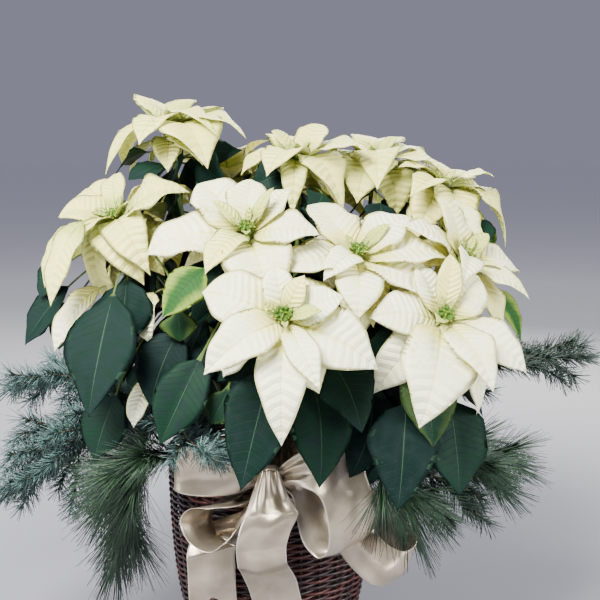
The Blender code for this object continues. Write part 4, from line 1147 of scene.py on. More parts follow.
def cup_rings(foot, normal, out, lean, size):
    """A turned cup along a leaning axis: radius over height goes stalk, belly, pinched mouth, hollow."""
    axis = (normal + out * lean).normalized()
    across = axis.orthogonal().normalized()
    upward = axis.cross(across)
    heights = np.array([0.0, 0.10, 0.30, 0.55, 0.80, 0.96, 1.0, 0.90]) * CUP_HEIGHT * size
    radii = np.array([0.30, 0.62, 0.98, 1.0, 0.80, 0.58, 0.42, 0.25]) * CUP_RADIUS * size
    rings = turned_rings(foot, axis, across, upward, heights, radii, 9)
    return rings, {"yellow": (heights / heights.max())[:, None] * 0.30}, axis


def dot_rings(centre, axis, radius, length, yellow):
    """A small rounded peg: radii follow a half circle along its length."""
    across = axis.orthogonal().normalized()
    share = np.linspace(0.02, 0.98, 4)
    radii = radius * np.sqrt(1 - (2 * share - 1) ** 2) + radius * 0.1
    rings = turned_rings(centre, axis, across, axis.cross(across), share * length, radii, 5)
    return rings, {"yellow": yellow}


def cyathia_sheets(name, head):
    """A ring of seven cups round three inner ones, each leaning out, with its gland and stamens."""
    middle, normal, right, up = head_frame(head)
    top = middle + normal * GAP
    draw = random.Random(name)
    sheets = []
    places = [(0.0017, 3, 0.05, 1.05, 0.3), (0.0052, 7, 0.50, 1.05, 0.0), (0.0058, 8, 1.35, 1.35, 0.4)]
    for ring, count, lean, size, start in places:
        for i in range(count):
            angle = 2 * math.pi * i / count + start + draw.uniform(-0.15, 0.15)
            out = spoke(right, up, angle)
            foot = top + out * ring
            cup_size = size * draw.uniform(0.82, 1.08)
            rings, marks, axis = cup_rings(foot, normal, out, lean, cup_size)
            sheets.append((rings, marks))
            gland = foot + axis * CUP_HEIGHT * cup_size * 0.72 + out * CUP_RADIUS * 0.55 * cup_size
            sheets.append(dot_rings(gland, (out + axis * 0.6).normalized(), 0.0009, 0.0022, 1.0))
            for k in range(2 if ring < 0.0055 else 1):
                off = spoke(right, up, angle + 3.1 * k)
                tip_axis = (axis + off * 0.35).normalized()
                sheets.append(dot_rings(foot + axis * CUP_HEIGHT * cup_size * 0.85 + off * 0.0005, tip_axis,
                                        0.00035, 0.0024, 0.9))
    disc_heights = np.array([0.0, 0.0012, 0.0022, 0.0026])
    disc_radii = np.array([0.0060, 0.0066, 0.0056, 0.002])
    sheets.append((turned_rings(top, normal, right, up, disc_heights, disc_radii, 12), {"yellow": 0}))
    return sheets


def green_cups():
    """Waxy green that turns yellow at the glands and stamens."""
    finish = Finish("green_cups", 0.55)
    yellow = finish.mark("yellow")
    green = finish.mix(finish.noise(600, 2), (0.012, 0.042, 0.004, 1), (0.075, 0.165, 0.014, 1))
    finish.colour(finish.mix(finish.ramp(yellow, 0.2, 1.0), green, (0.36, 0.36, 0.04, 1)))
    finish.shader.inputs["Specular IOR Level"].default_value = 0.2
    return finish.material


CUP_FINISH = green_cups()
for head_name, head_row in ALL_HEADS.items():
    put_sheets(head_name.replace("head", "cyathia"), cyathia_sheets(head_name, head_row), CUP_FINISH,
               "bead_green", head_name.replace("head", "beads"))


# Leaves
#
# Broad dark green leaves hang below the heads on long stalks. The blade is matt above with a pale midrib and
# pale side veins, paler green below, and a few young ones have yellow-green edges.

# Leaves: the head whose branch carries it, base of the blade, tip, width, and how variegated it is, 0 to 1
LEAVES = [
    ("head_left", (-183, -188, 524), (-217, -222, 389), 88, 0),
    ("head_left", (-180, -150, 570), (-206, -192, 497), 70, 0),
    ("head_centre_left", (-112, -172, 488), (-144, -200, 396), 60, 0),
    ("head_left", (-185, -150, 405), (-224, -170, 315), 60, 0),
    ("head_centre_left", (-75, -200, 450), (-127, -222, 349), 56, 0),
    ("head_centre_left", (-30, -218, 437), (-69, -230, 387), 38, 0.1),
    ("head_front_low", (5, -236, 423), (-12, -262, 305), 72, 0),
    ("head_front_low", (71, -218, 413), (67, -250, 308), 64, 0),
    ("head_front_low", (93, -212, 452), (118, -250, 377), 56, 0),
    ("head_centre", (150, -196, 418), (109, -235, 318), 68, 0),
    ("head_centre", (144, -180, 372), (120, -212, 294), 48, 0),
    ("head_front_right", (164, -222, 392), (161, -262, 283), 74, 0),
    ("head_front_right", (187, -200, 437), (206, -238, 355), 66, 0.12),
    ("head_right", (238, -198, 410), (269, -232, 298), 76, 0),
    ("head_centre_left", (-73, -200, 571), (-124, -218, 513), 44, 0.9),
    ("head_left", (-95, -180, 530), (-107, -194, 478), 40, 0.2),
    ("head_right_high", (315, -30, 628), (339, -34, 568), 36, 0.8),
    ("head_right", (303, -120, 540), (350, -124, 476), 34, 0.8),
    ("head_left", (-272, -48, 560), (-316, -60, 512), 46, 0),
    ("head_left", (-268, -66, 514), (-306, -80, 450), 54, 0),
    ("head_left", (-250, -100, 500), (-292, -122, 412), 50, 0),
    ("head_top_left", (-140, -30, 690), (-190, -56, 674), 46, 0),
    ("head_top_left", (-93, 0, 704), (-36, 10, 706), 52, 0),
    ("head_top_mid", (23, -56, 684), (-20, -66, 668), 42, 0),
    ("head_top_mid", (84, -66, 656), (52, -96, 630), 46, 0),
    ("head_top_right", (168, -40, 650), (188, -70, 612), 44, 0),
    ("head_right_high", (272, -44, 622), (298, -66, 590), 42, 0),
]

# Leaves on the sides and the back hang in two rows: height of the blade's base, radius, drop, length
LEAF_ROWS = [
    (0.500, 0.215, 0.055, 0.105),
    (0.415, 0.190, 0.045, 0.105),
]
LEAVES_IN_ROW = 7
# Added leaves round the bare branch below the highest head on the left: head, base, tip, width
HIDING_LEAVES = [
    ("head_top_left", (-102, -20, 704), (-136, -40, 652), 60),
    ("head_top_left", (-90, -10, 701), (-57, -30, 668), 52),
    ("head_top_left", (-177, -20, 715), (-216, -40, 677), 56),
    ("head_top_left", (-48, 20, 718), (-27, 0, 684), 50),
    ("head_top_left", (-122, 30, 667), (-108, 20, 606), 60),
    ("head_left", (-139, -40, 649), (-154, -60, 593), 52),
    ("head_left", (-230, -80, 565), (-273, -100, 516), 56),
    ("head_top_left", (-150, 20, 690), (-178, 10, 634), 56),
    ("head_centre_left", (-80, -40, 650), (-96, -70, 596), 52),
    ("head_top_mid", (-20, 0, 690), (-40, -20, 640), 54),
    ("head_top_mid", (96, -30, 672), (100, -56, 620), 52),
    ("head_left", (-206, -40, 580), (-240, -60, 520), 56),
]
# Where the place is taken, such a leaf moves by one of these
HIDING_SHIFTS = ((0, 0, 0), (0, 22, 0), (0, -18, 0), (12, 10, -14), (-12, 10, -14), (0, 40, -10))
LEAF_ARC = (math.radians(-20), math.radians(205))
LEAVES_UNDER_HEAD = 2
# A branch is read at this many points, and its leaves start from the leafy ones
BRANCH_POINTS = 24
LEAFY = slice(8, 22)
LEAF_CUP = 0.10
LEAF_WAVE = 0.05
LEAF_VEINS = 12
LEAF_SHOULDER = 0.68
LEAF_FULL = 1.16
# Rows and columns of a leaf that a solid has too, and of an added one
LEAF_GRID = (26, 11)
ADDED_LEAF_GRID = (16, 9)
# Forms that a leaf tries, until it is clear of the blades before it: share of its full width, how free it is
LEAF_FORMS = ((1.0, 1.0), (1.0, 0.3), (0.93, 0.3), (0.87, 0.0), (0.80, 0.0))
# Added leaves up each branch, and what each tries until it is clear: drop, length of blade, length of stalk
BRANCH_LEAVES = 9
BRANCH_TRIES = ((0.35, 0.105, 0.034), (0.9, 0.105, 0.034), (0.1, 0.085, 0.05), (1.6, 0.09, 0.04),
                (0.6, 0.07, 0.03), (2.2, 0.075, 0.03))
# Added leaves over the rim: heights of their rows, leaves in a row, and tries as (radius, reach, length)
APRON_ROWS = (0.475, 0.43, 0.385, 0.345)
APRON_LEAVES = 15
APRON_TRIES = ((0.190, 0.45, 0.125), (0.165, 0.30, 0.115), (0.215, 0.6, 0.105), (0.180, 0.2, 0.095),
               (0.150, 0.7, 0.085))
# No apron leaf hangs over the bow: its tip stays out of this space (lowest and highest x, last y, highest z)
BOW_SPACE = (-0.135, 0.200, -0.140, 0.340)


def nearest_head(heads, place):
    """The name of the head whose middle is nearest."""
    return min(heads, key=lambda name: (Vector(heads[name][1]) * MM - place).length)


def level_direction(angle):
    """The level direction at an angle."""
    return Vector((math.cos(angle), math.sin(angle), 0))


def row_leaves(heads):
    """Leaves that hang round the sides and the back, each from the nearest branch."""
    rows = []
    draw = random.Random(7)
    for height, radius, drop, length in LEAF_ROWS:
        for i in range(LEAVES_IN_ROW):
            place = i + 0.5 * (height < 0.45)
            angle = LEAF_ARC[0] + (LEAF_ARC[1] - LEAF_ARC[0]) * place / (LEAVES_IN_ROW - 0.5)
            out = level_direction(angle)
            base = out * radius + Vector((0.02, 0, height + draw.uniform(-0.012, 0.012)))
            tip = base + out * drop - Vector((0, 0, length * draw.uniform(0.85, 1.05)))
            rows.append((nearest_head(heads, base), base, tip, draw.uniform(0.056, 0.070), False, 0.0))
    return rows


def collar_leaves(heads):
    """The green leaves right below each head, turned from one another by the golden angle."""
    rows = []
    for name, head in heads.items():
        middle, normal, right, up = head_frame(head)
        for i in range(LEAVES_UNDER_HEAD):
            angle = math.radians(head[3]) + (i + 0.5) * GOLDEN_ANGLE + len(name)
            out = spoke(right, up, angle)
            base = middle - normal * (0.055 + 0.022 * i) + out * 0.034
            tip = base + out * 0.072 - normal * 0.040 - Vector((0, 0, 0.015))
            rows.append((name, base, tip, 0.056, False, 0.0))
    return rows


def leaf_rings(plant, head, row, number, added=False):
    """A leaf: its stalk leaves the branch below the blade's base and the blade hangs to its tip."""
    base, tip, width, fine, variegated = row
    leafy = branch_path(head, BRANCH_POINTS)[LEAFY]
    wanted = base - (tip - base).normalized() * 0.035 + Vector((0, 0, 0.01))
    root = Vector(leafy[int(np.argmin([(Vector(p) - wanted).length for p in leafy]))])
    outward = Vector((base.x, base.y, 0)).normalized()
    facing = (outward * (0.5 if fine else 1.0) + Vector((0, -0.6 if fine else 0, 0.4))).normalized()
    stalk = (base - root).length
    petiole = stalk / (stalk + (tip - base).length)
    near = root.lerp(base, 0.6) + Vector((0, 0, 0.25 * stalk))
    spine = (root, near, base + outward * 0.012 + Vector((0, 0, 0.006)),
             base.lerp(tip, 0.55) + outward * 0.012, tip)
    blade = (spine, facing, STALK_RADIUS, LEAF_CUP)
    rows, columns = ADDED_LEAF_GRID if added else LEAF_GRID

    def make(share, free):
        draw = random.Random(plant + str(number))
        lobe = draw.uniform(0.0, 0.15) * free
        points, marks = blade_rings(spine, facing, width * LEAF_FULL * share, petiole * 0.96, STALK_RADIUS,
                                    LEAF_CUP, LEAF_WAVE, LEAF_VEINS, rows, columns, draw, LEAF_SHOULDER, free,
                                    lobe)
        marks.update(yellow=variegated, tone=draw.uniform(0, 1))
        return points, marks

    if added:
        return make(*LEAF_FORMS[0])
    return fitted(make, LEAF_FORMS, settled(plant, *blade), blade, columns, 13)


def branch_leaves(name, head):
    """Places for more leaves up a branch, each with tries that hang more and more, as (base, tip, width)."""
    path = branch_path(head, BRANCH_POINTS)
    draw = random.Random(name + "leaves")
    places = []
    for i in range(BRANCH_LEAVES):
        root = Vector(path[9 + int(i * 1.4)])
        angle = i * GOLDEN_ANGLE + draw.uniform(-0.3, 0.3) + len(name)
        out = level_direction(angle)
        tries = []
        for drop, length, stalk in BRANCH_TRIES:
            base = root + out * stalk + Vector((0, 0, 0.012))
            tries.append((base, base + (out - Vector((0, 0, drop))).normalized() * length, length * 0.60))
        places.append((name, tries))
    return places


def apron_leaves(heads):
    """Places for the leaves that hang over the rim all round, in rows one below the other."""
    draw = random.Random("apron")
    places = []
    for row, height in enumerate(APRON_ROWS):
        for i in range(APRON_LEAVES):
            angle = 2 * math.pi * (i + 0.5 * (row % 2)) / APRON_LEAVES + draw.uniform(-0.08, 0.08)
            out = level_direction(angle)
            tries = []
            for radius, reach, length in APRON_TRIES:
                base = out * radius + Vector((0.01, 0, height + draw.uniform(-0.008, 0.008)))
                tip = base + (out * reach - Vector((0, 0, 1))).normalized() * length
                left, right, last, highest = BOW_SPACE
                if not (left < tip.x < right and tip.y < last and tip.z < highest):
                    tries.append((base, tip, length * 0.60))
            if tries:
                places.append((nearest_head(heads, tries[0][0]), tries))
    return places


def hiding_leaves():
    """Places for the hiding leaves, each with tries a little further back, forwards or aside."""
    places = []
    for name, base, tip, width in HIDING_LEAVES:
        tries = [((Vector(base) + Vector(shift)) * MM, (Vector(tip) + Vector(shift)) * MM, width * MM)
                 for shift in HIDING_SHIFTS]
        tries.append((tries[0][0], tries[0][0].lerp(tries[0][1], 0.7), width * MM * 0.7))
        places.append((name, tries))
    return places


def dark_leaf():
    """Blue-green with grey-green patches, paler below; midrib and side veins are paler and a little sunk."""
    finish = Finish("dark_leaf", 0.46)
    along = finish.mark("along")
    across = finish.mark("across")
    phase = vein_phase(finish, along, across, LEAF_VEINS)
    side_vein = finish.ramp(finish.sum("PINGPONG", phase, 0.5), 0.050, 0.0)
    midrib = finish.ramp(across, 0.030, 0.006)
    stalk = finish.ramp(along, 0.006, 0.0)
    tone = finish.mix(finish.mark("tone"), (0.0032, 0.0104, 0.0098, 1), (0.0062, 0.0225, 0.0125, 1))
    patches = finish.noise(70, 3)
    blade = finish.mix(finish.ramp(patches, 0.35, 0.75), tone, (0.0076, 0.0170, 0.0160, 1))
    below = finish.mix(finish.mark("under"), blade, (0.017, 0.042, 0.020, 1))
    young = finish.mix(finish.ramp(finish.mark("yellow"), 0.0, 0.6), below, (0.020, 0.072, 0.016, 1))
    rim = finish.ramp(finish.total(across, (patches, 0.7)), 0.65, 1.25)
    rim = finish.sum("MULTIPLY", finish.mark("yellow"), rim)
    edged = finish.mix(rim, young, (0.20, 0.28, 0.045, 1))
    pale_side_vein = finish.sum("MULTIPLY", side_vein, 0.20)
    veins = finish.sum("MAXIMUM", pale_side_vein, finish.sum("MULTIPLY", midrib, 0.60))
    veined = finish.mix(veins, edged, (0.040, 0.085, 0.050, 1))
    finish.colour(finish.mix(stalk, veined, (0.085, 0.13, 0.035, 1)))
    finish.feed(finish.shader.inputs["Roughness"], finish.ramp(patches, 0.3, 0.8, 0.50, 0.66))
    finish.shader.inputs["Specular IOR Level"].default_value = 0.05
    finish.bump(finish.total((side_vein, -0.7), (midrib, -0.8), (finish.noise(600, 3), 0.5)), 0.0006)
    return finish.material


LEAF_FINISH = dark_leaf()
leaf_rows = [(leaf_head, Vector(leaf_base) * MM, Vector(leaf_tip) * MM, leaf_width * MM, True, variegation)
             for leaf_head, leaf_base, leaf_tip, leaf_width, variegation in LEAVES]
leaf_rows += row_leaves(ALL_HEADS) + collar_leaves(ALL_HEADS)
added_places = hiding_leaves() + apron_leaves(ALL_HEADS)
for head_name, head_row in ALL_HEADS.items():
    added_places += branch_leaves(head_name, head_row)
added_sheets = {plant_name: [] for plant_name in PLANTS}
for number, (head_name, tries) in enumerate(added_places):
    plant_name = ALL_HEADS[head_name][0]
    for leaf_base, leaf_tip, leaf_width in tries:
        made = leaf_rings(plant_name, ALL_HEADS[head_name], (leaf_base, leaf_tip, leaf_width, False, 0.0),
                          len(leaf_rows) + number, added=True)
        leaf_sheet, leaf_tree = coarse_sheet(made[0], ADDED_LEAF_GRID[1], 6)
        if is_clear(leaf_tree):
            keep(leaf_sheet, leaf_tree)
            added_sheets[plant_name].append(made)
            break
for plant_name in PLANTS:
    leaf_sheets = added_sheets[plant_name]
    for number, leaf_row in enumerate(leaf_rows):
        if ALL_HEADS[leaf_row[0]][0] == plant_name:
            made = leaf_rings(plant_name, ALL_HEADS[leaf_row[0]], leaf_row[1:], number)
            if made is not None:
                leaf_sheets.append(made)
    put_sheets(plant_name + "_leaves", leaf_sheets, LEAF_FINISH, "leaf_green", plant_name)


# Satin bow
#
# A florist's double-faced satin ribbon, 2.5 in wide and champagne coloured. It is folded into four loops and
# two tails with notched ends, and gathered into pleats at the knot that holds them to the rim.

RIBBON_WIDTH = 0.0635
RIBBON_HALF_THICKNESS = 0.0002
STRIP_ROWS = 96
STRIP_COLUMNS = 25
# Share of its width that a strip keeps at the knot, and how much of it each step away from there gives back
GATHER = 0.36
GATHER_STEP = 0.30
SLOW_GATHER_STEP = 0.14
SLOW_GATHERED = ("ribbon_loop_lower_left",)
PLEATS = 2.5
TAIL_NOTCH = 0.032
# Each tail was pressed flat once and keeps a sharp fold across it: row where it is, its slant and its height
PRESSED_FOLDS = {"ribbon_tail_left": (4.1, -0.5, 0.0070), "ribbon_tail_middle": (5.2, -0.35, 0.0080)}

# Each strip's lower or left edge as (x, y, z) with the direction its width takes from there (x, y, z)
BOW = {
    "ribbon_loop_upper_left": [
        ((-6.5, -178, 286), (0, 0, 1)), ((-36, -192, 279), (0.05, 0, 1)), ((-72, -206, 280), (0.05, 0, 1)),
        ((-104, -208, 284), (0.05, 0, 1)), ((-118, -194, 286), (0.05, 0, 1)),
        ((-104, -178, 286), (0.05, 0.05, 1)), ((-56, -172, 284), (0.05, 0, 1)),
        ((-6.5, -172, 286), (0, 0, 1))],
    "ribbon_loop_lower_left": [
        ((-6.5, -184, 272), (0, 1, 0)), ((-34, -204, 266), (0.1, 1, 0)), ((-66, -222, 270), (0.55, 0.8, 0)),
        ((-96, -212, 266), (0.55, 0.8, -0.1)), ((-110, -204, 246), (0.55, 0.8, -0.2)),
        ((-98, -212, 222), (0.55, 0.8, -0.22)), ((-72, -226, 214), (0.55, 0.8, -0.2)),
        ((-50, -226, 228), (0.5, 0.8, -0.05)), ((-34, -212, 246), (0.1, 1, 0)),
        ((-6.5, -184, 264), (0, 1, 0))],
    "ribbon_tail_left": [
        ((-7, -166, 257.2), (1, 0, 0)), ((-26, -155.6, 243), (1, 0, -0.1)),
        ((-74, -152, 224), (1, -0.07, -0.1)), ((-98, -154, 206), (1, -0.05, 0)),
        ((-106, -160, 188), (1, 0, 0.05)), ((-106, -166, 158), (1, 0.05, 0)),
        ((-105, -168, 128), (1, 0.1, 0)), ((-103, -168, 94), (1, 0.15, 0))],
    "ribbon_tail_middle": [
        ((-8, -183.5, 306), (1, 0, 0)), ((-17, -200, 284), (1, 0, 0)), ((-25, -213, 262), (1, 0.03, 0.04)),
        ((-33, -220, 240), (1, 0.06, 0.06)), ((-37, -222, 220), (1, 0.06, 0.03)),
        ((-37, -214, 202), (1, 0.05, 0)), ((-34, -193, 174), (0.95, 0.1, 0)),
        ((-24, -178, 140), (0.9, 0.15, 0)), ((-16, -170, 104), (0.95, 0.1, 0)),
        ((-12, -168, 76), (0.98, 0, 0))],
    "ribbon_loop_middle": [
        ((18.5, -181, 288), (0, 0, 1)), ((44, -208, 294), (0.5, 0, 0.7)),
        ((68, -228, 288), (0.88, 0.2, 0.35)), ((78, -238, 256), (0.86, 0.25, 0.38)),
        ((78, -234, 222), (0.86, 0.25, 0.4)), ((66, -220, 204), (0.86, 0.25, 0.4)),
        ((48, -208, 218), (0.86, 0.25, 0.38)), ((39, -198, 246), (0.86, 0.25, 0.35)),
        ((34, -188, 272), (0.7, 0.1, 0.6)), ((18.5, -177, 284), (0, 0, 1))],
    "ribbon_loop_right": [
        ((18.5, -172, 262), (0, 0, 1)), ((50, -168, 240), (0.5, 0, 0.8)),
        ((84, -169, 204), (0.6, -0.1, 0.66)), ((112, -187, 174), (0.52, -0.3, 0.68)),
        ((140, -212, 163), (0.42, -0.35, 0.72)), ((166, -212, 170), (0.26, -0.35, 0.78)),
        ((174, -198, 184), (0.15, -0.3, 0.8)), ((148, -174, 196), (0.2, -0.1, 0.85)),
        ((106, -158, 222), (0.25, 0, 0.85)), ((60, -158, 250), (0.3, 0, 0.85)),
        ((18.5, -165, 264), (0, 0, 1))],
}


def smooth_path(points, places):
    """A smooth curve through rows (Catmull-Rom), read at places counted in rows."""
    rows = np.array(points, float)
    rows = np.vstack([2 * rows[0] - rows[1], rows, 2 * rows[-1] - rows[-2]])
    i = np.minimum(places.astype(int), len(rows) - 4)
    f = (places - i)[:, None]
    a, b, c, d = rows[i], rows[i + 1], rows[i + 2], rows[i + 3]
    square = 2 * a - 5 * b + 4 * c - d
    cube = 3 * b - a - 3 * c + d
    return 0.5 * (2 * b + (c - a) * f + square * f ** 2 + cube * f ** 3)


def ribbon_rings(name, rows):
    """A strip: edge point + ruling * t, with t over the width, folded into pleats where it is gathered.

    A pleat is a sine across the width, square to the strip. Where the strip is drawn in to a share g of its
    width, pleats of period p need the amplitude p / 4 * sqrt(1 / g^2 - 1) to hold the cloth.
    """
    spans = len(rows) - 1
    places = np.linspace(0, spans, STRIP_ROWS)
    edge = smooth_path([row[0] for row in rows], places) * MM
    ruling = unit(smooth_path([row[1] for row in rows], places))
    along = unit(np.gradient(edge, axis=0))
    slant = np.maximum(np.linalg.norm(np.cross(ruling, along), axis=1), 0.8)
    is_tail = "tail" in name
    from_knot = places if is_tail else np.minimum(places, spans - places)
    step = SLOW_GATHER_STEP if is_tail or name in SLOW_GATHERED else GATHER_STEP
    steps_a_row = (2 * len(rows) - 1) / spans
    gathered = np.minimum(1, GATHER + step * from_knot * steps_a_row)
    width = RIBBON_WIDTH / slant * gathered
    normal = unit(np.cross(ruling, along))
    top = np.linspace(0, 1, STRIP_COLUMNS)
    t = np.concatenate([top, top[::-1]])[None, :]
    face = np.concatenate([np.ones(STRIP_COLUMNS), -np.ones(STRIP_COLUMNS)])[None, :]
    belly = np.sin(np.pi * t)
    draw = random.Random(name)
    amplitude = width / PLEATS / 4 * np.sqrt(np.maximum(1 / gathered ** 2 - 1, 0)) * 0.45
    fold = amplitude[:, None] * np.sin(2 * np.pi * PLEATS * t + draw.uniform(0, 6))
    ripple = 0.0030 * np.sin(places * 2.3 + draw.uniform(0, 6))[:, None] * belly
    ripple = ripple + 0.0014 * np.sin(3 * np.pi * t + 1.1 * places[:, None] + draw.uniform(0, 6)) * belly
    trough = -0.0036 * belly * gathered[:, None]
    fold_row, fold_slant, fold_height = PRESSED_FOLDS.get(name, (0, 0, 0))
    from_fold = np.abs(places[:, None] - fold_row - fold_slant * (t - 0.5))
    trough = trough - fold_height * np.clip(1 - from_fold / 0.9, 0, 1) ** 1.3
    notch = np.zeros_like(t)
    reach = np.clip((places - (spans - 1.6)) / 1.6, 0, 1)
    if is_tail:
        notch = -TAIL_NOTCH * (1 - np.abs(2 * t - 1)) * (reach ** 1.5)[:, None]
    points = edge[:, None, :] + ruling[:, None, :] * (width[:, None] * t)[..., None]
    points = points + along[:, None, :] * (notch + 0 * fold)[..., None]
    offset = fold + ripple + trough + face * RIBBON_HALF_THICKNESS
    points = points + normal[:, None, :] * offset[..., None]
    length = np.concatenate([[0], np.cumsum(np.linalg.norm(np.diff(edge, axis=0), axis=1))])
    marks = {"across": t + 0 * fold, "run": length[:, None] + 0 * t}
    return points, marks


def cloth_area(points):
    """Area of a strip's upper side and its length along the middle."""
    sheet = points[:, :STRIP_COLUMNS]
    a, b, c, d = sheet[:-1, :-1], sheet[:-1, 1:], sheet[1:, 1:], sheet[1:, :-1]
    area = np.linalg.norm(np.cross(c - a, d - b), axis=-1).sum() / 2
    middle = sheet[:, STRIP_COLUMNS // 2]
    return area, np.linalg.norm(np.diff(middle, axis=0), axis=1).sum()


def champagne_satin():
    """Satin: long floats along the strip give a soft streaky gloss; the woven edges are a little brighter."""
    finish = Finish("champagne_satin", 0.30)
    across = finish.mark("across")
    run = finish.mark("run")
    weave = finish.node("ShaderNodeCombineXYZ")
    finish.feed(weave.inputs["X"], finish.sum("MULTIPLY", across, 90.0))
    finish.feed(weave.inputs["Y"], finish.sum("MULTIPLY", run, 60.0))
    threads = finish.node("ShaderNodeTexNoise")
    finish.feed(threads.inputs["Vector"], weave.outputs[0])
    threads.inputs["Scale"].default_value = 1.0
    threads.inputs["Detail"].default_value = 3.0
    soft = finish.noise(28, 2)
    selvedge = finish.ramp(finish.sum("ABSOLUTE", finish.sum("SUBTRACT", across, 0.5)), 0.470, 0.482)
    base = finish.mix(finish.ramp(soft, 0.3, 0.7), (0.32, 0.255, 0.170, 1), (0.47, 0.395, 0.290, 1))
    streaked = finish.mix(finish.sum("MULTIPLY", threads.outputs["Fac"], 0.25), base, (0.80, 0.74, 0.66, 1))
    finish.colour(finish.mix(finish.sum("MULTIPLY", selvedge, 0.5), streaked, (0.82, 0.76, 0.66, 1)))
    finish.bump(finish.sum("ADD", threads.outputs["Fac"], finish.sum("MULTIPLY", selvedge, 0.8)), 0.00012)
    finish.shader.inputs["Metallic"].default_value = 0.80
    finish.shader.inputs["Sheen Weight"].default_value = 0.05
    finish.shader.inputs["Sheen Roughness"].default_value = 0.35
    finish.shader.inputs["Anisotropic"].default_value = 0.4
    return finish.material


def knot_rings():
    """The knot: a block with rounded corners (a squircle), wrapped by ribbon in level pleats."""
    low, high = (np.array(p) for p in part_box("ribbon_knot"))
    middle = (low + high) / 2
    half = (high - low) / 2
    share = np.linspace(-1, 1, 34)
    angle = circle(40)[0]
    power = 0.5
    round_x = np.sign(np.cos(angle)) * np.abs(np.cos(angle)) ** power
    round_y = np.sign(np.sin(angle)) * np.abs(np.sin(angle)) ** power
    ends = np.maximum((1 - np.abs(share) ** 6) ** 0.35, 0.05)
    pleat = 1 - 0.06 * (1 + np.sin(share * 22 + 1.5 * np.sin(angle)[:, None])).T
    x = middle[0] + half[0] * round_x[None, :] * ends[:, None] * pleat
    y = middle[1] + half[1] * round_y[None, :] * ends[:, None] * pleat
    z = middle[2] + half[2] * share[:, None] + 0 * x
    return np.stack([x, y, z], axis=-1), {"across": 0.5 + 0.4 * share[:, None], "run": angle[None, :] * 0.012}


SATIN = champagne_satin()
put_sheets("bow_knot", [knot_rings()], SATIN, "satin_champagne", "ribbon_knot")
for strip_name, strip_rows in BOW.items():
    strip_sheet = ribbon_rings(strip_name, strip_rows)
    strip = put_sheets(strip_name + "_satin", [strip_sheet], SATIN, "satin_champagne", strip_name)
    strip_area, strip_length = cloth_area(strip_sheet[0])


# Evergreen sprays
#
# Cut tips of blue spruce, fir and long-needle pine are pushed into the soil round the rim. Spruce and fir
# needles stand all round the twig; pine needles are long and come in tufts that point forwards.

TWIG_RADIUS = 0.0024
# Points to a row of a twig's path, share of the full radius, and sides, for main twigs and for side twigs
MAIN_TWIG = (6, 1.0, 7)
SIDE_TWIG = (3, 0.5, 4)
# Share of a spray's first twig that has no needles, and of every other twig
BARE_IN_SOIL = 0.36
BARE = 0.03
# Side twigs of a kind: share of the main twig where they start, their spacing and the longest one
BRANCHLETS = {"spruce": (0.42, 0.014, 0.075), "fir": (0.42, 0.013, 0.085), "pine": (0.38, 0.026, 0.055)}

# Sprays: where the first twig crosses the rim (degrees), the twigs' points outside it, needle length,
# their spread from the twig in degrees, needles to a centimetre of twig, and the radius of a needle
SPRAYS = {
    "spruce_left_upper": (213, [
        [(-200, -104, 388), (-262, -118, 416), (-340, -130, 404)]], 25, 50, 21, 0.68),
    "spruce_left_middle": (203, [
        [(-208, -88, 338), (-264, -108, 350), (-336, -122, 336)],
        [(-214, -91, 339), (-250, -108, 332), (-300, -126, 318), (-340, -134, 312)],
        [(-228, -96, 342), (-262, -109, 306), (-330, -124, 262), (-356, -130, 252)]], 25, 50, 20, 0.68),
    "pine_left_low": (218, [
        [(-160, -126, 306), (-186, -140, 262), (-198, -144, 210), (-204, -146, 170)],
        [(-155, -138, 312), (-184, -156, 286), (-206, -166, 262)]], 78, 27, 40, 0.50),
    "spruce_over_loop": (235, [
        [(-104, -168, 358), (-96, -214, 359), (-56, -248, 338)]], 24, 50, 22, 0.68),
    "fir_right": (339, [
        [(220, -80, 392), (310, -96, 436), (430, -104, 438)]], 26, 46, 25, 0.60),
    "pine_right": (329, [
        [(204, -112, 316), (262, -126, 316), (330, -130, 298)],
        [(212, -114, 316), (270, -128, 292), (312, -134, 268)]], 58, 28, 36, 0.50),
    "fir_right_low": (316, [
        [(180, -146, 300), (232, -166, 286), (266, -178, 248)]], 24, 46, 26, 0.60),
    "pine_front_right": (308, [
        [(146, -186, 318), (172, -214, 292), (180, -222, 264)]], 84, 26, 52, 0.50),
    "pine_back_left": (137, [
        [(-176, 152, 304), (-224, 196, 262), (-250, 220, 214)]], 72, 30, 42, 0.50),
    "spruce_back_left": (165, [
        [(-214, 60, 360), (-280, 80, 378), (-344, 92, 364)]], 25, 50, 21, 0.68),
    "fir_back_right": (35, [
        [(196, 140, 350), (262, 184, 372), (330, 226, 362)]], 26, 46, 25, 0.60),
}
# Each first twig starts in the soil, climbs inside the rim and crosses over it: radius and height
OVER_RIM = [(108, 236), (124, 292), (164, 302)]


def spray_twigs(name):
    """The points of each twig of a spray, in metres; the first starts in the soil and crosses the rim."""
    degrees, twigs = SPRAYS[name][:2]
    angle = math.radians(degrees)
    start = [(radius * math.cos(angle), radius * math.sin(angle), height) for radius, height in OVER_RIM]
    return [np.array(start * (number == 0) + points) * MM for number, points in enumerate(twigs)]


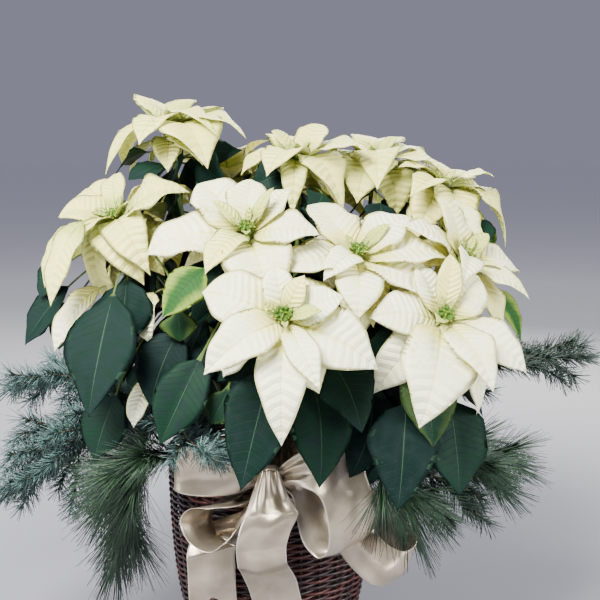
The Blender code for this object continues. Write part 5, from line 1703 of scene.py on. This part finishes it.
def branchlets(name, number, path):
    """Side twigs, left and right in turn and all round, that lean forwards and get shorter to the tip."""
    first, spacing, longest = BRANCHLETS[name.split("_")[0]]
    draw = random.Random(name + str(number))
    steps = np.linalg.norm(np.diff(path, axis=0), axis=1)
    total = steps.sum()
    start = first if number == 0 else 0.12
    count = int(total * (1 - start) / spacing)
    sides = []
    for i in range(count):
        share = start + (0.96 - start) * i / max(1, count)
        k = min(int(np.searchsorted(np.cumsum(steps), share * total)), len(steps) - 1)
        before = steps[:k].sum()
        along = (path[k + 1] - path[k]) / steps[k]
        root = path[k] + along * (share * total - before)
        side = np.cross(along, UP)
        side /= np.linalg.norm(side)
        hand = 1 if i % 2 else -1
        lean = math.radians(draw.uniform(36, 52))
        roll = math.radians(draw.uniform(-78, 78))
        away = side * hand * math.cos(roll) + np.cross(side, along) * math.sin(roll)
        direction = along * math.cos(lean) + away * math.sin(lean)
        size = longest * (1 - 0.55 * (share - start) / (1 - start)) * draw.uniform(0.75, 1.1)
        middle = root + direction * size * 0.5
        end = root + direction * size + along * size * 0.15 + np.array((0, 0, -0.06)) * size
        sides.append(np.array([root, middle, end]))
    return sides


def needle_rows(name, path, bare, settings):
    """Root, direction, length of each needle: random places along the twig, round it, out to its tip."""
    length, spread, density = settings[:3]
    steps = np.linalg.norm(np.diff(path, axis=0), axis=1)
    total = steps.sum()
    draw = np.random.default_rng(sum(name.encode()) + len(path))
    count = int(total * (1 - bare) * 100 * density)
    place = np.sort(draw.uniform(bare, 1, count)) * total
    k = np.minimum(np.searchsorted(np.cumsum(steps), place), len(steps) - 1)
    start = np.concatenate([[0], np.cumsum(steps)])[k]
    along = np.diff(path, axis=0) / steps[:, None]
    root = path[k] + along[k] * (place - start)[:, None]
    axis = along[k]
    side = unit(np.cross(axis, UP))
    up = np.cross(side, axis)
    turn = draw.uniform(0, 2 * np.pi, count)
    tip_share = np.clip((place / total - 0.90) / 0.10, 0, 1)
    lean = np.radians(spread + draw.normal(0, 7, count)) * (1 - 0.55 * tip_share)
    around = side * np.cos(turn)[:, None] + up * np.sin(turn)[:, None]
    direction = axis * np.cos(lean)[:, None] + around * np.sin(lean)[:, None]
    size = length * MM * draw.uniform(0.78, 1.08, count)
    sag = np.array([0, 0, -0.16 if length > 50 else -0.03])
    return root, unit(direction + sag * draw.uniform(0.4, 1.4, count)[:, None]), size


def needle_mesh(name, groups):
    """All needles of a spray: a triangle round the root, drawn out to a short flat edge at the tip."""
    points, tones = [], []
    for root, direction, size, radius, tone in groups:
        side = unit(np.cross(direction, (0.31, 0.87, 0.38)))
        up = np.cross(side, direction)
        angle = 2 * np.pi * np.arange(3) / 3
        around = side[:, None] * np.cos(angle)[:, None] + up[:, None] * np.sin(angle)[:, None]
        foot = root[:, None] + around * radius
        tip = root + direction * size[:, None]
        edge = np.stack([tip + side * radius * 0.5, tip - side * radius * 0.5], axis=1)
        points.append(np.concatenate([foot, edge], axis=1).reshape(-1, 3))
        tones.append(np.repeat(tone, 5))
    points = np.concatenate(points)
    pattern = np.array([(0, 1, 2), (0, 3, 1), (1, 3, 4), (1, 4, 2), (2, 4, 0), (0, 4, 3)])
    corners = (np.arange(len(points) // 5)[:, None, None] * 5 + pattern[None]).ravel()
    return mesh_of(name, points, corners, np.full(len(corners) // 3, 3, dtype=np.int32), {"tone": tones})


def needle_finish(name, dark, pale, bloom):
    """Needle green, a different tone on each needle, with a waxy grey bloom."""
    finish = Finish(name, 0.45)
    tone = finish.mix(finish.mark("tone"), dark, pale)
    bloomed = finish.sum("MULTIPLY", finish.noise(240, 2), bloom)
    finish.colour(finish.mix(bloomed, tone, (0.42, 0.52, 0.52, 1)))
    return finish.material


def twig_bark():
    """Brown bark with fine pegs where the needles sit."""
    finish = Finish("twig_bark", 0.8)
    rough = finish.noise(900, 3)
    finish.colour(finish.mix(rough, (0.035, 0.020, 0.011, 1), (0.15, 0.085, 0.045, 1)))
    finish.bump(rough, 0.0012)
    return finish.material


def is_free(start, way, length, obstacles):
    """True where a straight line of some length meets none of the obstacles."""
    return all(tree.ray_cast(Vector(start), Vector(way), float(length))[0] is None for tree in obstacles)


def spray_parts(name, obstacles):
    """Sheets of a spray's twigs and groups of its needles; what would run into an obstacle is left out."""
    settings = SPRAYS[name][2:]
    sheets = []
    groups = []
    for number, main_twig in enumerate(spray_twigs(name)):
        for order, path in enumerate([main_twig, *branchlets(name, number, main_twig)]):
            is_main = order == 0
            points, thick, sides = MAIN_TWIG if is_main else SIDE_TWIG
            fine = smooth_path(path, np.linspace(0, len(path) - 1, points * len(path)))
            way = fine[-1] - fine[0]
            if not is_main and not is_free(fine[0], way, np.linalg.norm(way), obstacles):
                continue
            across, upward = path_frame(fine)
            radii = TWIG_RADIUS * thick * (1 - 0.6 * np.linspace(0, 1, len(fine)))
            sheets.append((ring_of(fine, across, upward, radii, radii, sides), {}))
            bare = BARE_IN_SOIL if number == 0 and is_main else BARE
            roots, directions, sizes = needle_rows(name, path, bare, settings)
            needles = zip(roots, directions, sizes)
            clear = np.array([is_free(*needle, obstacles) for needle in needles], dtype=bool)
            tones = np.random.default_rng(len(roots) + order).uniform(0, 1, len(roots)) ** 1.7
            groups.append((roots[clear], directions[clear], sizes[clear], settings[3] * MM, tones[clear]))
    return sheets, groups


NEEDLE_FINISHES = {
    "spruce": needle_finish("spruce_needles", (0.006, 0.024, 0.022, 1), (0.085, 0.190, 0.170, 1), 0.09),
    "pine": needle_finish("pine_needles", (0.004, 0.018, 0.008, 1), (0.030, 0.090, 0.030, 1), 0.04),
    "fir": needle_finish("fir_needles", (0.003, 0.012, 0.008, 1), (0.020, 0.055, 0.030, 1), 0.03),
}
BARK = twig_bark()
GROWN_TREE = sheet_tree(*grown_sheets)
for spray_name in SPRAYS:
    twig_sheets, needle_groups = spray_parts(spray_name,
                                             [solid_tree((spray_name, "soil", "liner_pot")), GROWN_TREE])
    kind = spray_name.split("_")[0]
    slot_name = "needle_blue_green" if kind == "spruce" else "needle_green"
    put(spray_name + "_needles", needle_mesh(spray_name + "_needles", needle_groups), NEEDLE_FINISHES[kind],
        slot_name, spray_name)
    put_sheets(spray_name + "_twigs", twig_sheets, BARK, slot_name, spray_name)
